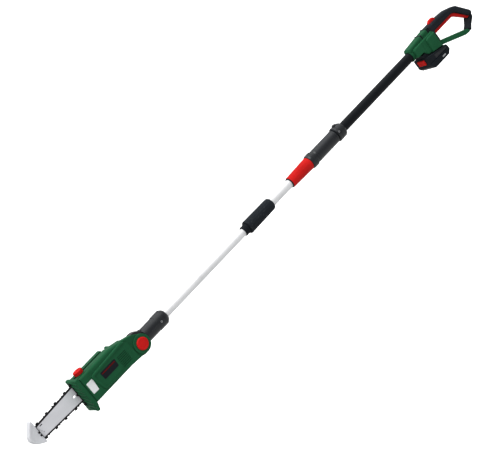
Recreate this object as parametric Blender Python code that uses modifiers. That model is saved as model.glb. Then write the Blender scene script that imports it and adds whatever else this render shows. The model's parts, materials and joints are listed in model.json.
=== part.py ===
"""Telescoping cordless pole saw, as separate pieces in metres.

+X runs along the pole from the handle to the saw head, +Z is up and +Y is the saw's left side.
The origin is on the pole's axis, at the middle of the fore-grip.
"""

import math

import bmesh
import bpy
from mathutils import Matrix, Vector

MM = 0.001
GAP = 0.3 * MM  # between pieces that touch
SPLIT = 0.15 * MM  # from the mid plane to each half shell
WALL = 2.5 * MM  # moulded shells
SLIDE_FIT = 0.4 * MM  # radial play of a tube in its guide
TURN_FIT = 0.4 * MM  # radial play of a turning piece

# Pole: radii, and lengths along X
HANDLE_TUBE_R = 16.0 * MM
HANDLE_TUBE_WALL = 1.5 * MM
HANDLE_TUBE_SHOWN = 382.0 * MM  # from the rear collar to the handle
HANDLE_TUBE_SEATED = 40.0 * MM  # inside the handle
OUTER_TUBE_R = 14.0 * MM
OUTER_TUBE_SHOWN = 97.0 * MM
OUTER_TUBE_SEATED = 19.0 * MM  # past the back of the coupling nut
OUTER_TUBE_IN_LOCK = 27.0 * MM  # inside the twist sleeve
TUBE_WALL = 1.0 * MM
TUBE_PLAY = 0.5 * MM  # between the inner tube and the outer tube's bore
INNER_TUBE_R = OUTER_TUBE_R - TUBE_WALL - TUBE_PLAY
INNER_TUBE_SHOWN = 372.0 * MM
INNER_TUBE_HIDDEN = 183.0 * MM  # behind the lock collar
FORE_GRIP_LENGTH = 106.5 * MM
FORE_GRIP_THICK = 6.0 * MM
FORE_GRIP_R = HANDLE_TUBE_R + FORE_GRIP_THICK
REAR_COLLAR_LENGTH = 36.0 * MM
REAR_COLLAR_R = HANDLE_TUBE_R + 9.5 * MM
SOCKET_COLLAR_LENGTH = 28.0 * MM
SOCKET_NECK_LENGTH = 41.0 * MM
SOCKET_NECK_R = OUTER_TUBE_R + 2.8 * MM
NUT_LENGTH = 95.0 * MM
NUT_FRONT_R = OUTER_TUBE_R + 4.5 * MM
NUT_REAR_R = SOCKET_NECK_R + 4.4 * MM
SOCKET_COLLAR_R = max(NUT_REAR_R, FORE_GRIP_R) + 2.5 * MM
COLLET_LENGTH = 45.0 * MM
COLLET_R = INNER_TUBE_R + 2.8 * MM
LOCK_BODY_R = max(COLLET_R, OUTER_TUBE_R) + 1.7 * MM
SLEEVE_BORE_R = LOCK_BODY_R + TURN_FIT
SLEEVE_LENGTH = 115.0 * MM
SLEEVE_REAR_R = SLEEVE_BORE_R + 3.1 * MM
SLEEVE_FRONT_R = SLEEVE_BORE_R + 4.6 * MM
LOCK_COLLAR_LENGTH = 20.0 * MM
LOCK_COLLAR_R = INNER_TUBE_R + 4.0 * MM
ADAPTER_COLLAR_LENGTH = 42.0 * MM
ADAPTER_COLLAR_R = 25.0 * MM
ADAPTER_NECK_LENGTH = 61.0 * MM
ADAPTER_NECK_R = 23.8 * MM
ADAPTER_SOCKET = 68.0 * MM  # depth that the inner tube goes in
HUB_R = 37.0 * MM
HUB_HALF = 12.0 * MM
HUB_LEAD = 22.0 * MM  # from the neck's end to the pivot

# Stations along X
GRIP_FRONT_X = FORE_GRIP_LENGTH / 2
NUT_REAR_X = GRIP_FRONT_X + SOCKET_COLLAR_LENGTH
NUT_FRONT_X = NUT_REAR_X + NUT_LENGTH
SLEEVE_REAR_X = NUT_FRONT_X + OUTER_TUBE_SHOWN
OUTER_TUBE_FRONT_X = SLEEVE_REAR_X + OUTER_TUBE_IN_LOCK
SLEEVE_FRONT_X = SLEEVE_REAR_X + SLEEVE_LENGTH
LOCK_FRONT_X = SLEEVE_FRONT_X + LOCK_COLLAR_LENGTH
ADAPTER_REAR_X = LOCK_FRONT_X + INNER_TUBE_SHOWN
NECK_REAR_X = ADAPTER_REAR_X + ADAPTER_COLLAR_LENGTH
PIVOT_X = NECK_REAR_X + ADAPTER_NECK_LENGTH + HUB_LEAD
COLLAR_REAR_X = -GRIP_FRONT_X - REAR_COLLAR_LENGTH
HANDLE_X = COLLAR_REAR_X - HANDLE_TUBE_SHOWN

# Saw head, from the pivot
HEAD_TOP_Z = 62.0 * MM
HEAD_BOTTOM_Z = -25.5 * MM
HEAD_SIDE_Y = 33.0 * MM  # left shell's side face
HEAD_FRONT = 219.0 * MM  # pivot to the shells' front end
HEAD_BACK = 45.0 * MM  # pivot to the hollow's back wall
HEAD_BODY_BACK = HUB_R + 2.0 * MM
SLOPE_Z = 50.0 * MM  # the sloping top's height over its back end
SHELL_RIGHT_Y = -12.0 * MM  # right shell's face under the bar
COVER_BACK = 95.0 * MM  # pivot to the sprocket cover's back end
COVER_SIDE_Y = -34.0 * MM
CHEEK_R = 29.3 * MM
CHEEK_IN_Y = HUB_HALF + 1.0 * MM
CHEEK_OUT_Y = 35.5 * MM
CHEEK_OUTLINE = (  # X and Z from the pivot and a radius, in millimetres
    (60, -25.2), (60, 54), (38, 49.5, 8), (10, 42, 10), (-14, 25.6), (-14, -10), (4, -28.9, 3),
)
PIN_R = 6.0 * MM
PIN_HEAD_R = 11.0 * MM
BUTTON_R = 19.5 * MM
BUTTON_TRAVEL = 5.0 * MM
BUMPER_DEPTH = 13.0 * MM
BUMPER_TOP_Z = 68.0 * MM
BUMPER_BOTTOM_Z = -46.0 * MM
BUMPER_LEFT_Y = 35.0 * MM
BUMPER_FRONT_X = PIVOT_X + HEAD_FRONT + GAP + BUMPER_DEPTH
SPIKE_PLATE = (-11.0 * MM, -8.5 * MM)  # its sides in Y
WINDOW = ((186.0 * MM, 212.0 * MM), (-2.0 * MM, 37.0 * MM))  # along X from the pivot, and in Z
VENT = ((54.0 * MM, 90.0 * MM), (-8.0 * MM, 32.0 * MM))
LABEL_RECESS = 1.0 * MM
OIL_NECK = (PIVOT_X + 193.0 * MM, -3.0 * MM)
OIL_NECK_R = 6.0 * MM
HEAD_SCREWS = ((70.0 * MM, 50.0 * MM), (70.0 * MM, -16.0 * MM))
SCREW_HEAD_R = 3.6 * MM
SCREW_SHANK_R = 1.8 * MM
SCREW_BOSS_R = 4.5 * MM

# Bar, chain and drive
BAR_Y = -18.0 * MM
BAR_Z = 21.0 * MM
BAR_THICK = 4.4 * MM
BAR_BACK_Y = BAR_Y + BAR_THICK / 2
BAR_TAIL_X = PIVOT_X + 163.0 * MM
BAR_BASE_X = PIVOT_X + 235.0 * MM
BAR_REACH = 172.0 * MM  # from the bumper's front to the nose
BAR_BASE_HALF = 24.5 * MM
BAR_NOSE_R = 18.5 * MM
NOSE_X = BAR_BASE_X + BAR_REACH - BAR_NOSE_R
NOSE_SPROCKET_HALF = 1.0 * MM
NOSE_HUB_R = 10.5 * MM
NOSE_SCREW_R = 1.7 * MM
NOSE_SCREW_HEAD_R = 3.2 * MM
NOSE_SCREWS = ((7.0 * MM, 5.0 * MM), (7.0 * MM, -5.0 * MM))
GUARD_REAR_X = NOSE_X + 3.5 * MM
GUARD_SIDES = (BAR_Y - 12.0 * MM, BAR_Y + 11.0 * MM)
CHAIN_THICK = 5.0 * MM
CHAIN_STRAP = 4.5 * MM  # chain height above the bar's edge
CUTTER_RISE = 4.0 * MM
CUTTER_COUNT = 16
SPINDLE_X = PIVOT_X + 135.0 * MM
SPINDLE_R = 5.0 * MM
PRESS_FIT = 0.1 * MM
SPROCKET_R = 17.0 * MM
SPROCKET_TEETH = 6
NOSE_TEETH = 9
CROWN_TEETH = 32
PINION_TEETH = 8
MOTOR_Y = 11.0 * MM
MOTOR_R = 19.0 * MM
MOTOR_BACK = 53.5 * MM  # pivot to the motor's back end
MOTOR_FRONT = 108.5 * MM
SHAFT_R = 2.2 * MM
PINION_X = SPINDLE_X - 20.5 * MM
PINION_TIP = 5.5 * MM
PINION_ROOT = 3.2 * MM
CROWN_TOP_Y = MOTOR_Y - 4.0 * MM
CROWN_ROOT_Y = MOTOR_Y - PINION_TIP - GAP
CROWN_BACK_Y = CROWN_ROOT_Y - 4.0 * MM
BEARING_R = SPINDLE_R + 3.0 * MM
BEARING_THICK = 5.0 * MM
CASE_R = 26.0 * MM
CASE_BACK_Y = SHELL_RIGHT_Y + WALL + GAP
CASE_MOUTH_Y = MOTOR_Y + 9.0 * MM
STUD_X = PIVOT_X + 188.0 * MM
STUD_R = 4.0 * MM
KNOB_R = 21.0 * MM

# Handle, Z above the pole's axis, X behind the front of the handle
GRIP_HALF_WIDTH = 17.0 * MM
SPINE_HALF_WIDTH = 17.0 * MM
BODY_HALF_WIDTH = 28.0 * MM
FOOT_HALF_WIDTH = 35.0 * MM
STRUT_HALF_WIDTH = 12.5 * MM
TRIGGER_HALF_WIDTH = 6.5 * MM
TRUNNION_R = 2.0 * MM
LOCK_OFF_HALF_WIDTH = 6.0 * MM
LOCK_OFF_SPAN = (117.0 * MM, 149.0 * MM)
LOCK_OFF_PLAY = 0.6 * MM
HANDLE_SCREWS = ((60.0 * MM, 22.0 * MM), (222.0 * MM, -78.5 * MM))
RAIL_HALF_WIDTH = 24.0 * MM
BATTERY_HALF_WIDTH = 37.5 * MM
CELLS = 5
CELL_HALF = BATTERY_HALF_WIDTH - 5.0 * MM
CELL_R = 9.1 * MM
CELL_Z = -61.0 * MM
LATCH_HALF_WIDTH = 18.0 * MM
CONTACTS_Y = (-16.0 * MM, -6.0 * MM, 6.0 * MM, 16.0 * MM)


# Scene and materials


def clear_scene():
    for old in list(bpy.data.objects):
        bpy.data.objects.remove(old, do_unlink=True)


def new_collection(name, hidden=False):
    made = bpy.data.collections.new(name)
    made.hide_render = hidden
    bpy.context.scene.collection.children.link(made)
    return made


def material(name, colour, roughness, metallic=0.0):
    made = bpy.data.materials.new(name)
    made.use_nodes = True
    shader = made.node_tree.nodes["Principled BSDF"]
    shader.inputs["Base Color"].default_value = (*colour, 1.0)
    shader.inputs["Roughness"].default_value = roughness
    shader.inputs["Metallic"].default_value = metallic
    made.diffuse_color = (*colour, 1.0)
    return made


clear_scene()
PARTS = new_collection("pole_saw")
CUTTERS = new_collection("cutters", hidden=True)
GREEN = material("green_plastic", (0.008, 0.09, 0.035), 0.4)
BLACK = material("black_plastic", (0.012, 0.014, 0.016), 0.35)
SOFT = material("soft_grip", (0.016, 0.018, 0.02), 0.7)
RED = material("red_plastic", (0.6, 0.012, 0.015), 0.35)
ALUMINIUM = material("aluminium", (0.75, 0.76, 0.77), 0.35, 1.0)
STEEL = material("steel", (0.55, 0.56, 0.57), 0.35, 1.0)
BAR_STEEL = material("bar_steel", (0.62, 0.63, 0.65), 0.4, 0.6)
CHAIN_STEEL = material("chain_steel", (0.03, 0.03, 0.035), 0.45, 0.8)
GUARD_GREY = material("guard_grey", (0.62, 0.63, 0.66), 0.45)
TANK_WHITE = material("tank_white", (0.8, 0.81, 0.82), 0.4)
BOARD = material("board_green", (0.01, 0.12, 0.05), 0.6)
CELL_BLUE = material("cell_wrap", (0.02, 0.12, 0.35), 0.5)


# Modelling tools


def apply_modifiers(piece):
    graph = bpy.context.evaluated_depsgraph_get()
    mesh = bpy.data.meshes.new_from_object(piece.evaluated_get(graph))
    piece.modifiers.clear()
    piece.data = mesh
    return piece


def solid(name, mesh):
    piece = bpy.data.objects.new(name, mesh)
    PARTS.objects.link(piece)
    return piece


def rounded(corners, steps=3):
    """An outline from (u, v, radius) corners, each turned into an arc of its radius."""
    outline = []
    count = len(corners)
    for i, (u, v, radius) in enumerate(corners):
        here = Vector((u, v))
        before = (Vector(corners[i - 1][:2]) - here).normalized()
        after = (Vector(corners[(i + 1) % count][:2]) - here).normalized()
        if radius <= 0:
            outline.append(here)
            continue
        half = before.angle(after) / 2
        centre = here + (before + after).normalized() * (radius / math.sin(half))
        start = here + before * (radius / math.tan(half)) - centre
        sweep = start.angle_signed(here + after * (radius / math.tan(half)) - centre)
        for k in range(steps + 1):
            outline.append(centre + Matrix.Rotation(-sweep * k / steps, 2) @ start)
    return outline


def circle(u, v, radius, steps=24, start=0.0):
    turns = [start + 2 * math.pi * k / steps for k in range(steps)]
    return [Vector((u + radius * math.cos(a), v + radius * math.sin(a))) for a in turns]


AXIS_MAPS = {
    "X": Matrix(((0, 0, 1, 0), (1, 0, 0, 0), (0, 1, 0, 0), (0, 0, 0, 1))),
    "Y": Matrix(((1, 0, 0, 0), (0, 0, -1, 0), (0, 1, 0, 0), (0, 0, 0, 1))),
    "Z": Matrix.Identity(4),
}


def plate(name, outlines, low, high, axis="Y"):
    """A flat solid between low and high on an axis. Outlines after the first are holes.

    They are in (X, Z) for axis Y, in (Y, Z) for axis X and in (X, Y) for axis Z."""
    curve = bpy.data.curves.new(name, "CURVE")
    curve.dimensions = "2D"
    curve.fill_mode = "BOTH"
    curve.extrude = (high - low) / 2
    for outline in outlines:
        spline = curve.splines.new("POLY")
        spline.points.add(len(outline) - 1)
        for point, (u, v) in zip(spline.points, outline):
            point.co = (u, v, 0, 1)
        spline.use_cyclic_u = True
    guide = bpy.data.objects.new(name + "_outline", curve)
    PARTS.objects.link(guide)
    graph = bpy.context.evaluated_depsgraph_get()
    mesh = bpy.data.meshes.new_from_object(guide.evaluated_get(graph))
    bpy.data.objects.remove(guide)
    shape = bmesh.new()
    shape.from_mesh(mesh)
    bmesh.ops.remove_doubles(shape, verts=shape.verts, dist=1e-6)
    middle = (high + low) / 2 * (-1 if axis == "Y" else 1)
    shape.transform(AXIS_MAPS[axis] @ Matrix.Translation((0, 0, middle)))
    bmesh.ops.recalc_face_normals(shape, faces=shape.faces)
    shape.to_mesh(mesh)
    shape.free()
    return solid(name, mesh)


def turned(name, profile, centre, axis="X", steps=24):
    """A solid of revolution from a closed (along, radius) profile, about an axis through centre."""
    mesh = bpy.data.meshes.new(name)
    shape = bmesh.new()
    sign = -1 if axis == "Y" else 1
    points = [shape.verts.new((radius, 0, sign * along)) for along, radius in profile]
    for first, second in zip(points, points[1:] + points[:1]):
        if max(first.co.x, second.co.x) > 0:
            shape.edges.new((first, second))
    shape.to_mesh(mesh)
    shape.free()
    piece = solid(name, mesh)
    screw = piece.modifiers.new("Screw", "SCREW")
    screw.axis = "Z"
    screw.steps = screw.render_steps = steps
    screw.use_merge_vertices = True
    screw.merge_threshold = 0.000001
    apply_modifiers(piece)
    shape = bmesh.new()
    shape.from_mesh(piece.data)
    bmesh.ops.remove_doubles(shape, verts=shape.verts, dist=1e-6)
    bmesh.ops.recalc_face_normals(shape, faces=shape.faces)
    shape.transform(Matrix.Translation(centre) @ AXIS_MAPS[axis])
    if shape.calc_volume(signed=True) < 0:
        bmesh.ops.reverse_faces(shape, faces=shape.faces)
    shape.to_mesh(piece.data)
    shape.free()
    return piece


def rod(name, low, high, radius, centre, axis="X", steps=20, bore=0.0):
    """A round bar, or a tube with a bore, between low and high counted from centre."""
    return turned(name, [(low, bore), (high, bore), (high, radius), (low, radius)], centre, axis, steps)


def box(name, low, high):
    mesh = bpy.data.meshes.new(name)
    shape = bmesh.new()
    bmesh.ops.create_cube(shape, size=1.0)
    size = Vector(high) - Vector(low)
    middle = (Vector(high) + Vector(low)) / 2
    shape.transform(Matrix.Translation(middle) @ Matrix.Diagonal((*size, 1.0)))
    shape.to_mesh(mesh)
    shape.free()
    return solid(name, mesh)


def boolean(piece, others, operation):
    for other in others:
        step = piece.modifiers.new(operation.title(), "BOOLEAN")
        step.operation = operation
        step.object = other
        weld(apply_modifiers(piece))
        if operation == "UNION":
            bpy.data.objects.remove(other)
            continue
        PARTS.objects.unlink(other)
        CUTTERS.objects.link(other)
        other.hide_render = True
        other.display_type = "WIRE"
    return piece


def weld(piece):
    """Joins the points that a Boolean leaves almost in one place."""
    shape = bmesh.new()
    shape.from_mesh(piece.data)
    bmesh.ops.remove_doubles(shape, verts=shape.verts, dist=2e-6)
    bmesh.ops.dissolve_degenerate(shape, edges=shape.edges, dist=1e-6)
    shape.to_mesh(piece.data)
    shape.free()
    return piece


def cut(piece, *cutters):
    return boolean(piece, cutters, "DIFFERENCE")


def join(piece, *others):
    return boolean(piece, others, "UNION")


def soften(piece, width, steps=2, angle=50):
    """Bevels the edges sharper than angle."""
    edge = piece.modifiers.new("Bevel", "BEVEL")
    edge.width = width
    edge.segments = steps
    edge.limit_method = "ANGLE"
    edge.angle_limit = math.radians(angle)
    return apply_modifiers(piece)


def round_rim(piece, level, width, steps=2):
    """Rounds the edges of the flat side at Y = level."""
    shape = bmesh.new()
    shape.from_mesh(piece.data)
    flat = [e for e in shape.edges if all(abs(v.co.y - level) < 1e-5 for v in e.verts)]
    inner = [e for e in flat if e.calc_face_angle(0) < 0.01]
    rim = [e for e in flat if e.calc_face_angle(0) > 0.8]
    bmesh.ops.dissolve_edges(shape, edges=inner, use_verts=False)
    bmesh.ops.bevel(shape, geom=rim, offset=width, segments=steps, profile=0.5, affect="EDGES",
                    clamp_overlap=True)
    shape.to_mesh(piece.data)
    shape.free()
    return piece


def mirrored(piece, name):
    """A copy of a piece on the other side of the mid plane."""
    mesh = piece.data.copy()
    mesh.name = name
    mesh.transform(Matrix.Diagonal((1, -1, 1, 1)))
    mesh.flip_normals()
    return solid(name, mesh)


def dress(piece, colour, origin=None, parent=None, smooth=True):
    """Gives a piece its material, its shading, its origin and its parent."""
    piece.data.materials.clear()
    piece.data.materials.append(colour)
    if smooth:
        piece.data.shade_smooth()
        piece.data.set_sharp_from_angle(angle=math.radians(35))
    if origin is not None:
        piece.data.transform(Matrix.Translation(-Vector(origin)))
        piece.location = origin
    if parent is not None:
        piece.parent = parent
        piece.location -= parent.location
    return piece


def joint_empty(name, place):
    marker = bpy.data.objects.new(name, None)
    marker.empty_display_size = 0.03
    marker.location = place
    PARTS.objects.link(marker)
    return marker


# Outlines


def hull(points):
    """The convex outline round a set of points, anticlockwise."""
    places = sorted({(round(p[0], 7), round(p[1], 7)) for p in points})
    sides = []
    for run in (places, places[::-1]):
        side = []
        for point in run:
            while len(side) > 1:
                (au, av), (bu, bv) = side[-2], side[-1]
                if (bu - au) * (point[1] - av) - (bv - av) * (point[0] - au) > 0:
                    break
                side.pop()
            side.append(point)
        sides += side[:-1]
    return [Vector(p) for p in sides]


def bar_outline(grow=0.0):
    tail = [circle(BAR_TAIL_X + 12 * MM, BAR_Z + side * 11 * MM, 12 * MM + grow) for side in (-1, 1)]
    base = [(BAR_BASE_X, BAR_Z + side * (BAR_BASE_HALF + grow)) for side in (-1, 1)]
    return hull(tail[0] + tail[1] + base + circle(NOSE_X, BAR_Z, BAR_NOSE_R + grow, 40))


def chain_outline(grow):
    return hull(bar_outline(GAP + grow) + circle(SPINDLE_X, BAR_Z, SPROCKET_R + 0.6 * MM + grow, 32))


def along(outline):
    """Each point of a closed outline with its distance from the first, and the whole length."""
    places, length = [], 0.0
    for here, after in zip(outline, outline[1:] + outline[:1]):
        places.append((length, here))
        length += (after - here).length
    return places, length


def point_at(outline, distance, rise):
    """The point at a distance along a closed anticlockwise outline, lifted outwards."""
    places, length = along(outline)
    distance %= length
    index = max(i for i, (reached, _) in enumerate(places) if reached <= distance + 1e-9)
    start, here = places[index]
    step = (outline[(index + 1) % len(outline)] - here).normalized()
    return here + step * (distance - start) + Vector((step.y, -step.x)) * rise


def toothed_chain_outline():
    """The chain's outer side, with a depth gauge and a cutter at each step."""
    outline = chain_outline(CHAIN_STRAP)
    places, length = along(outline)
    pitch = length / CUTTER_COUNT
    profile = [(0, 0), (1, 0.8), (3.5, 0.8), (4.5, 0), (8, 0), (9, 1), (16, 0.85), (17, 0)]
    teeth = [k * pitch + u * MM for k in range(CUTTER_COUNT) for u, _ in profile]
    marks = [(distance, point_at(outline, distance, rise * CUTTER_RISE))
             for distance, (_, rise) in zip(teeth, profile * CUTTER_COUNT)]
    spans = [(k * pitch - 0.1 * MM, k * pitch + 17.1 * MM) for k in range(CUTTER_COUNT)]
    marks += [place for place in places if not any(low < place[0] < high for low, high in spans)]
    return [point for _, point in sorted(marks, key=lambda mark: mark[0])]


def gear_outline(u, v, tip, root, teeth, start=0.0, land=0.2):
    """A ring of straight-sided teeth; the first points along start."""
    outline = []
    for k in range(teeth):
        middle = start + 2 * math.pi * k / teeth
        for share, radius in ((-land * 1.6, root), (-land, tip), (land, tip), (land * 1.6, root)):
            turn = middle + share * math.pi / teeth * 2
            outline.append(Vector((u + radius * math.cos(turn), v + radius * math.sin(turn))))
    return outline


# The pole, from the handle to the head


def make_handle_tube():
    low = HANDLE_X - HANDLE_TUBE_SEATED
    tube = rod("handle_tube", low, GRIP_FRONT_X, HANDLE_TUBE_R, (0, 0, 0),
               bore=HANDLE_TUBE_R - HANDLE_TUBE_WALL)
    return dress(tube, BLACK)


def make_fore_grip():
    bore = HANDLE_TUBE_R + GAP
    half = GRIP_FRONT_X
    profile = [(-half, bore), (-half, FORE_GRIP_R - 1 * MM), (-half + 6 * MM, FORE_GRIP_R)]
    profile += [(half - 6 * MM, FORE_GRIP_R), (half, FORE_GRIP_R - 1.5 * MM), (half, bore)]
    return dress(turned("fore_grip", profile, (0, 0, 0)), BLACK)


def make_rear_collar():
    bore = HANDLE_TUBE_R + GAP
    front = -GRIP_FRONT_X - GAP
    profile = [(COLLAR_REAR_X, bore), (COLLAR_REAR_X, REAR_COLLAR_R - 3 * MM)]
    profile += [(COLLAR_REAR_X + 5 * MM, REAR_COLLAR_R), (front - 4 * MM, REAR_COLLAR_R)]
    profile += [(front, REAR_COLLAR_R - 3 * MM), (front, bore)]
    collar = turned("rear_collar", profile, (0, 0, 0))
    middle = (COLLAR_REAR_X + front) / 2
    lug = rod("lug", 15 * MM, REAR_COLLAR_R + 3 * MM, 7 * MM, (middle, 0, 0), "Z", 16)
    clear = rod("collar_bore", COLLAR_REAR_X - MM, front + MM, bore, (0, 0, 0))
    return dress(cut(join(collar, lug), clear), BLACK)


def make_pole_socket():
    collar = GRIP_FRONT_X + GAP
    seat = NUT_REAR_X - OUTER_TUBE_SEATED
    front = NUT_REAR_X + SOCKET_NECK_LENGTH
    spigot_r = HANDLE_TUBE_R - HANDLE_TUBE_WALL - GAP
    slide_r = INNER_TUBE_R + 0.7 * MM
    seat_r = OUTER_TUBE_R + SLIDE_FIT
    rear = GRIP_FRONT_X - 33 * MM
    profile = [(rear, slide_r), (rear, spigot_r), (collar, spigot_r), (collar, SOCKET_COLLAR_R - MM)]
    profile += [(collar + 4 * MM, SOCKET_COLLAR_R), (NUT_REAR_X - 5 * MM, SOCKET_COLLAR_R)]
    profile += [(NUT_REAR_X - GAP, SOCKET_COLLAR_R - 2 * MM), (NUT_REAR_X - GAP, SOCKET_NECK_R)]
    profile += [(front, SOCKET_NECK_R), (front, seat_r), (seat, seat_r), (seat, slide_r)]
    return dress(turned("pole_socket", profile, (0, 0, 0)), BLACK)


def make_coupling_nut():
    step = NUT_REAR_X + SOCKET_NECK_LENGTH + 1.5 * MM
    wide, narrow = SOCKET_NECK_R + TURN_FIT, OUTER_TUBE_R + SLIDE_FIT
    profile = [(NUT_REAR_X, wide), (NUT_REAR_X, NUT_REAR_R - MM), (NUT_REAR_X + 4 * MM, NUT_REAR_R)]
    profile += [(NUT_FRONT_X - 3 * MM, NUT_FRONT_R), (NUT_FRONT_X, NUT_FRONT_R - MM)]
    profile += [(NUT_FRONT_X, narrow), (step, narrow), (step, wide)]
    return dress(turned("coupling_nut", profile, (0, 0, 0)), RED)


def make_outer_tube():
    low = NUT_REAR_X - OUTER_TUBE_SEATED + GAP
    tube = rod("outer_tube", low, OUTER_TUBE_FRONT_X, OUTER_TUBE_R, (0, 0, 0),
               bore=OUTER_TUBE_R - TUBE_WALL)
    return dress(tube, ALUMINIUM)


def make_lock_body():
    low, high = SLEEVE_REAR_X + 7 * MM, SLEEVE_FRONT_X
    outer = SLEEVE_BORE_R - TURN_FIT
    seat, guide = OUTER_TUBE_R + GAP, INNER_TUBE_R + SLIDE_FIT
    pocket, floor = COLLET_R + GAP, high - COLLET_LENGTH - MM
    step = OUTER_TUBE_FRONT_X + GAP
    profile = [(low, seat), (low, outer), (high, outer), (high, pocket), (floor, pocket), (floor, guide)]
    profile += [(step, guide), (step, seat)]
    return dress(turned("lock_body", profile, (0, 0, 0)), BLACK)


def make_collet():
    high = SLEEVE_FRONT_X - GAP
    ring = rod("collet", high - COLLET_LENGTH, high, COLLET_R, (0, 0, 0), bore=INNER_TUBE_R + GAP)
    slit = box("collet_slit", (high - 40 * MM, -1.5 * MM, -20 * MM), (high + MM, 1.5 * MM, 0))
    return dress(cut(ring, slit), BLACK)


def make_lock_collar():
    low = SLEEVE_FRONT_X + GAP
    bore = INNER_TUBE_R + SLIDE_FIT
    profile = [(low, bore), (low, LOCK_COLLAR_R), (LOCK_FRONT_X - 2 * MM, LOCK_COLLAR_R)]
    profile += [(LOCK_FRONT_X, LOCK_COLLAR_R - 1.5 * MM), (LOCK_FRONT_X, bore)]
    return dress(turned("lock_collar", profile, (0, 0, 0)), BLACK)


def make_twist_sleeve():
    rear, front = SLEEVE_REAR_X, SLEEVE_FRONT_X - GAP
    lip = OUTER_TUBE_R + TURN_FIT
    profile = [(rear, lip), (rear, SLEEVE_REAR_R - 2 * MM), (rear + 5 * MM, SLEEVE_REAR_R)]
    profile += [(front - 4 * MM, SLEEVE_FRONT_R), (front, SLEEVE_FRONT_R - 2 * MM), (front, SLEEVE_BORE_R)]
    profile += [(rear + 6 * MM, SLEEVE_BORE_R), (rear + 6 * MM, lip)]
    return dress(turned("twist_sleeve", profile, (0, 0, 0)), SOFT)


def make_inner_tube():
    low, high = LOCK_FRONT_X - INNER_TUBE_HIDDEN, ADAPTER_REAR_X + ADAPTER_SOCKET - GAP
    tube = rod("inner_tube", low, high, INNER_TUBE_R, (0, 0, 0), bore=INNER_TUBE_R - TUBE_WALL)
    return dress(tube, ALUMINIUM)


def make_tube_stop():
    """The plug in the inner tube's hidden end, whose flange guides it in the outer tube."""
    end = LOCK_FRONT_X - INNER_TUBE_HIDDEN - GAP
    plug, bore = INNER_TUBE_R - TUBE_WALL - GAP, 7 * MM
    profile = [(end - 4 * MM, bore), (end - 4 * MM, INNER_TUBE_R), (end, INNER_TUBE_R), (end, plug)]
    profile += [(end + 15 * MM, plug), (end + 15 * MM, bore)]
    return dress(turned("tube_stop", profile, (0, 0, 0)), BLACK)


def make_pole_adapter():
    """The black casting that carries the head: collar, neck, and the hub between the head's cheeks."""
    rear, step = ADAPTER_REAR_X, NECK_REAR_X
    high = PIVOT_X - CHEEK_R - 1.5 * MM
    profile = [(rear, 0), (rear, ADAPTER_COLLAR_R - 4 * MM), (rear + 7 * MM, ADAPTER_COLLAR_R)]
    profile += [(step - 2 * MM, ADAPTER_COLLAR_R), (step, ADAPTER_NECK_R), (high, ADAPTER_NECK_R),
                (high, 0)]
    adapter = turned("pole_adapter", profile, (0, 0, 0))
    half = HUB_HALF
    hub = rod("hub", -half, half, HUB_R, (PIVOT_X, 0, 0), "Y", 40)
    web = box("web", (high - 5 * MM, -half, -21 * MM), (PIVOT_X, half, 21 * MM))
    bore = rod("adapter_bore", rear - MM, rear + ADAPTER_SOCKET, INNER_TUBE_R + GAP, (0, 0, 0))
    pin = rod("hub_bore", -half - MM, half + MM, PIN_R + GAP, (PIVOT_X, 0, 0), "Y")
    return dress(cut(join(adapter, hub, web), bore, pin), BLACK)


# The saw head


def head_point(x, z, radius=0.0):
    """An outline corner given from the pivot, in millimetres."""
    return (PIVOT_X + x * MM, z * MM, radius * MM)


def head_side(back, front, inset=0.0):
    """The head's side outline between two places from the pivot, drawn in by an inset."""
    slope = (93 * MM - 38 * MM, HEAD_TOP_Z - SLOPE_Z)
    drop = inset * math.hypot(*slope) / slope[0]
    back_z = SLOPE_Z + slope[1] * (back - 38 * MM) / slope[0] - drop
    top, bottom = HEAD_TOP_Z - inset, HEAD_BOTTOM_Z + inset
    corners = [(PIVOT_X + back, bottom, 0), (PIVOT_X + front, bottom, 0), (PIVOT_X + front, top, 0)]
    if back < 90 * MM:
        corners += [(PIVOT_X + 93 * MM, top, 25 * MM), (PIVOT_X + back, back_z, 0)]
    else:
        corners += [(PIVOT_X + back, top, 0)]
    return rounded(corners, 4)


def cheek(side):
    """One side of the tilt joint's fork, as far as its boss. Side is 1 on the left."""
    low, high = sorted((side * CHEEK_IN_Y, side * (HEAD_SIDE_Y - 1.5 * MM)))
    plate_piece = plate("cheek", [rounded([head_point(*c) for c in CHEEK_OUTLINE])], low, high)
    low, high = sorted((side * CHEEK_IN_Y, side * CHEEK_OUT_Y))
    boss = rod("boss", low, high, CHEEK_R, (PIVOT_X, 0, 0), "Y", 40)
    return plate_piece, boss


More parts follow.
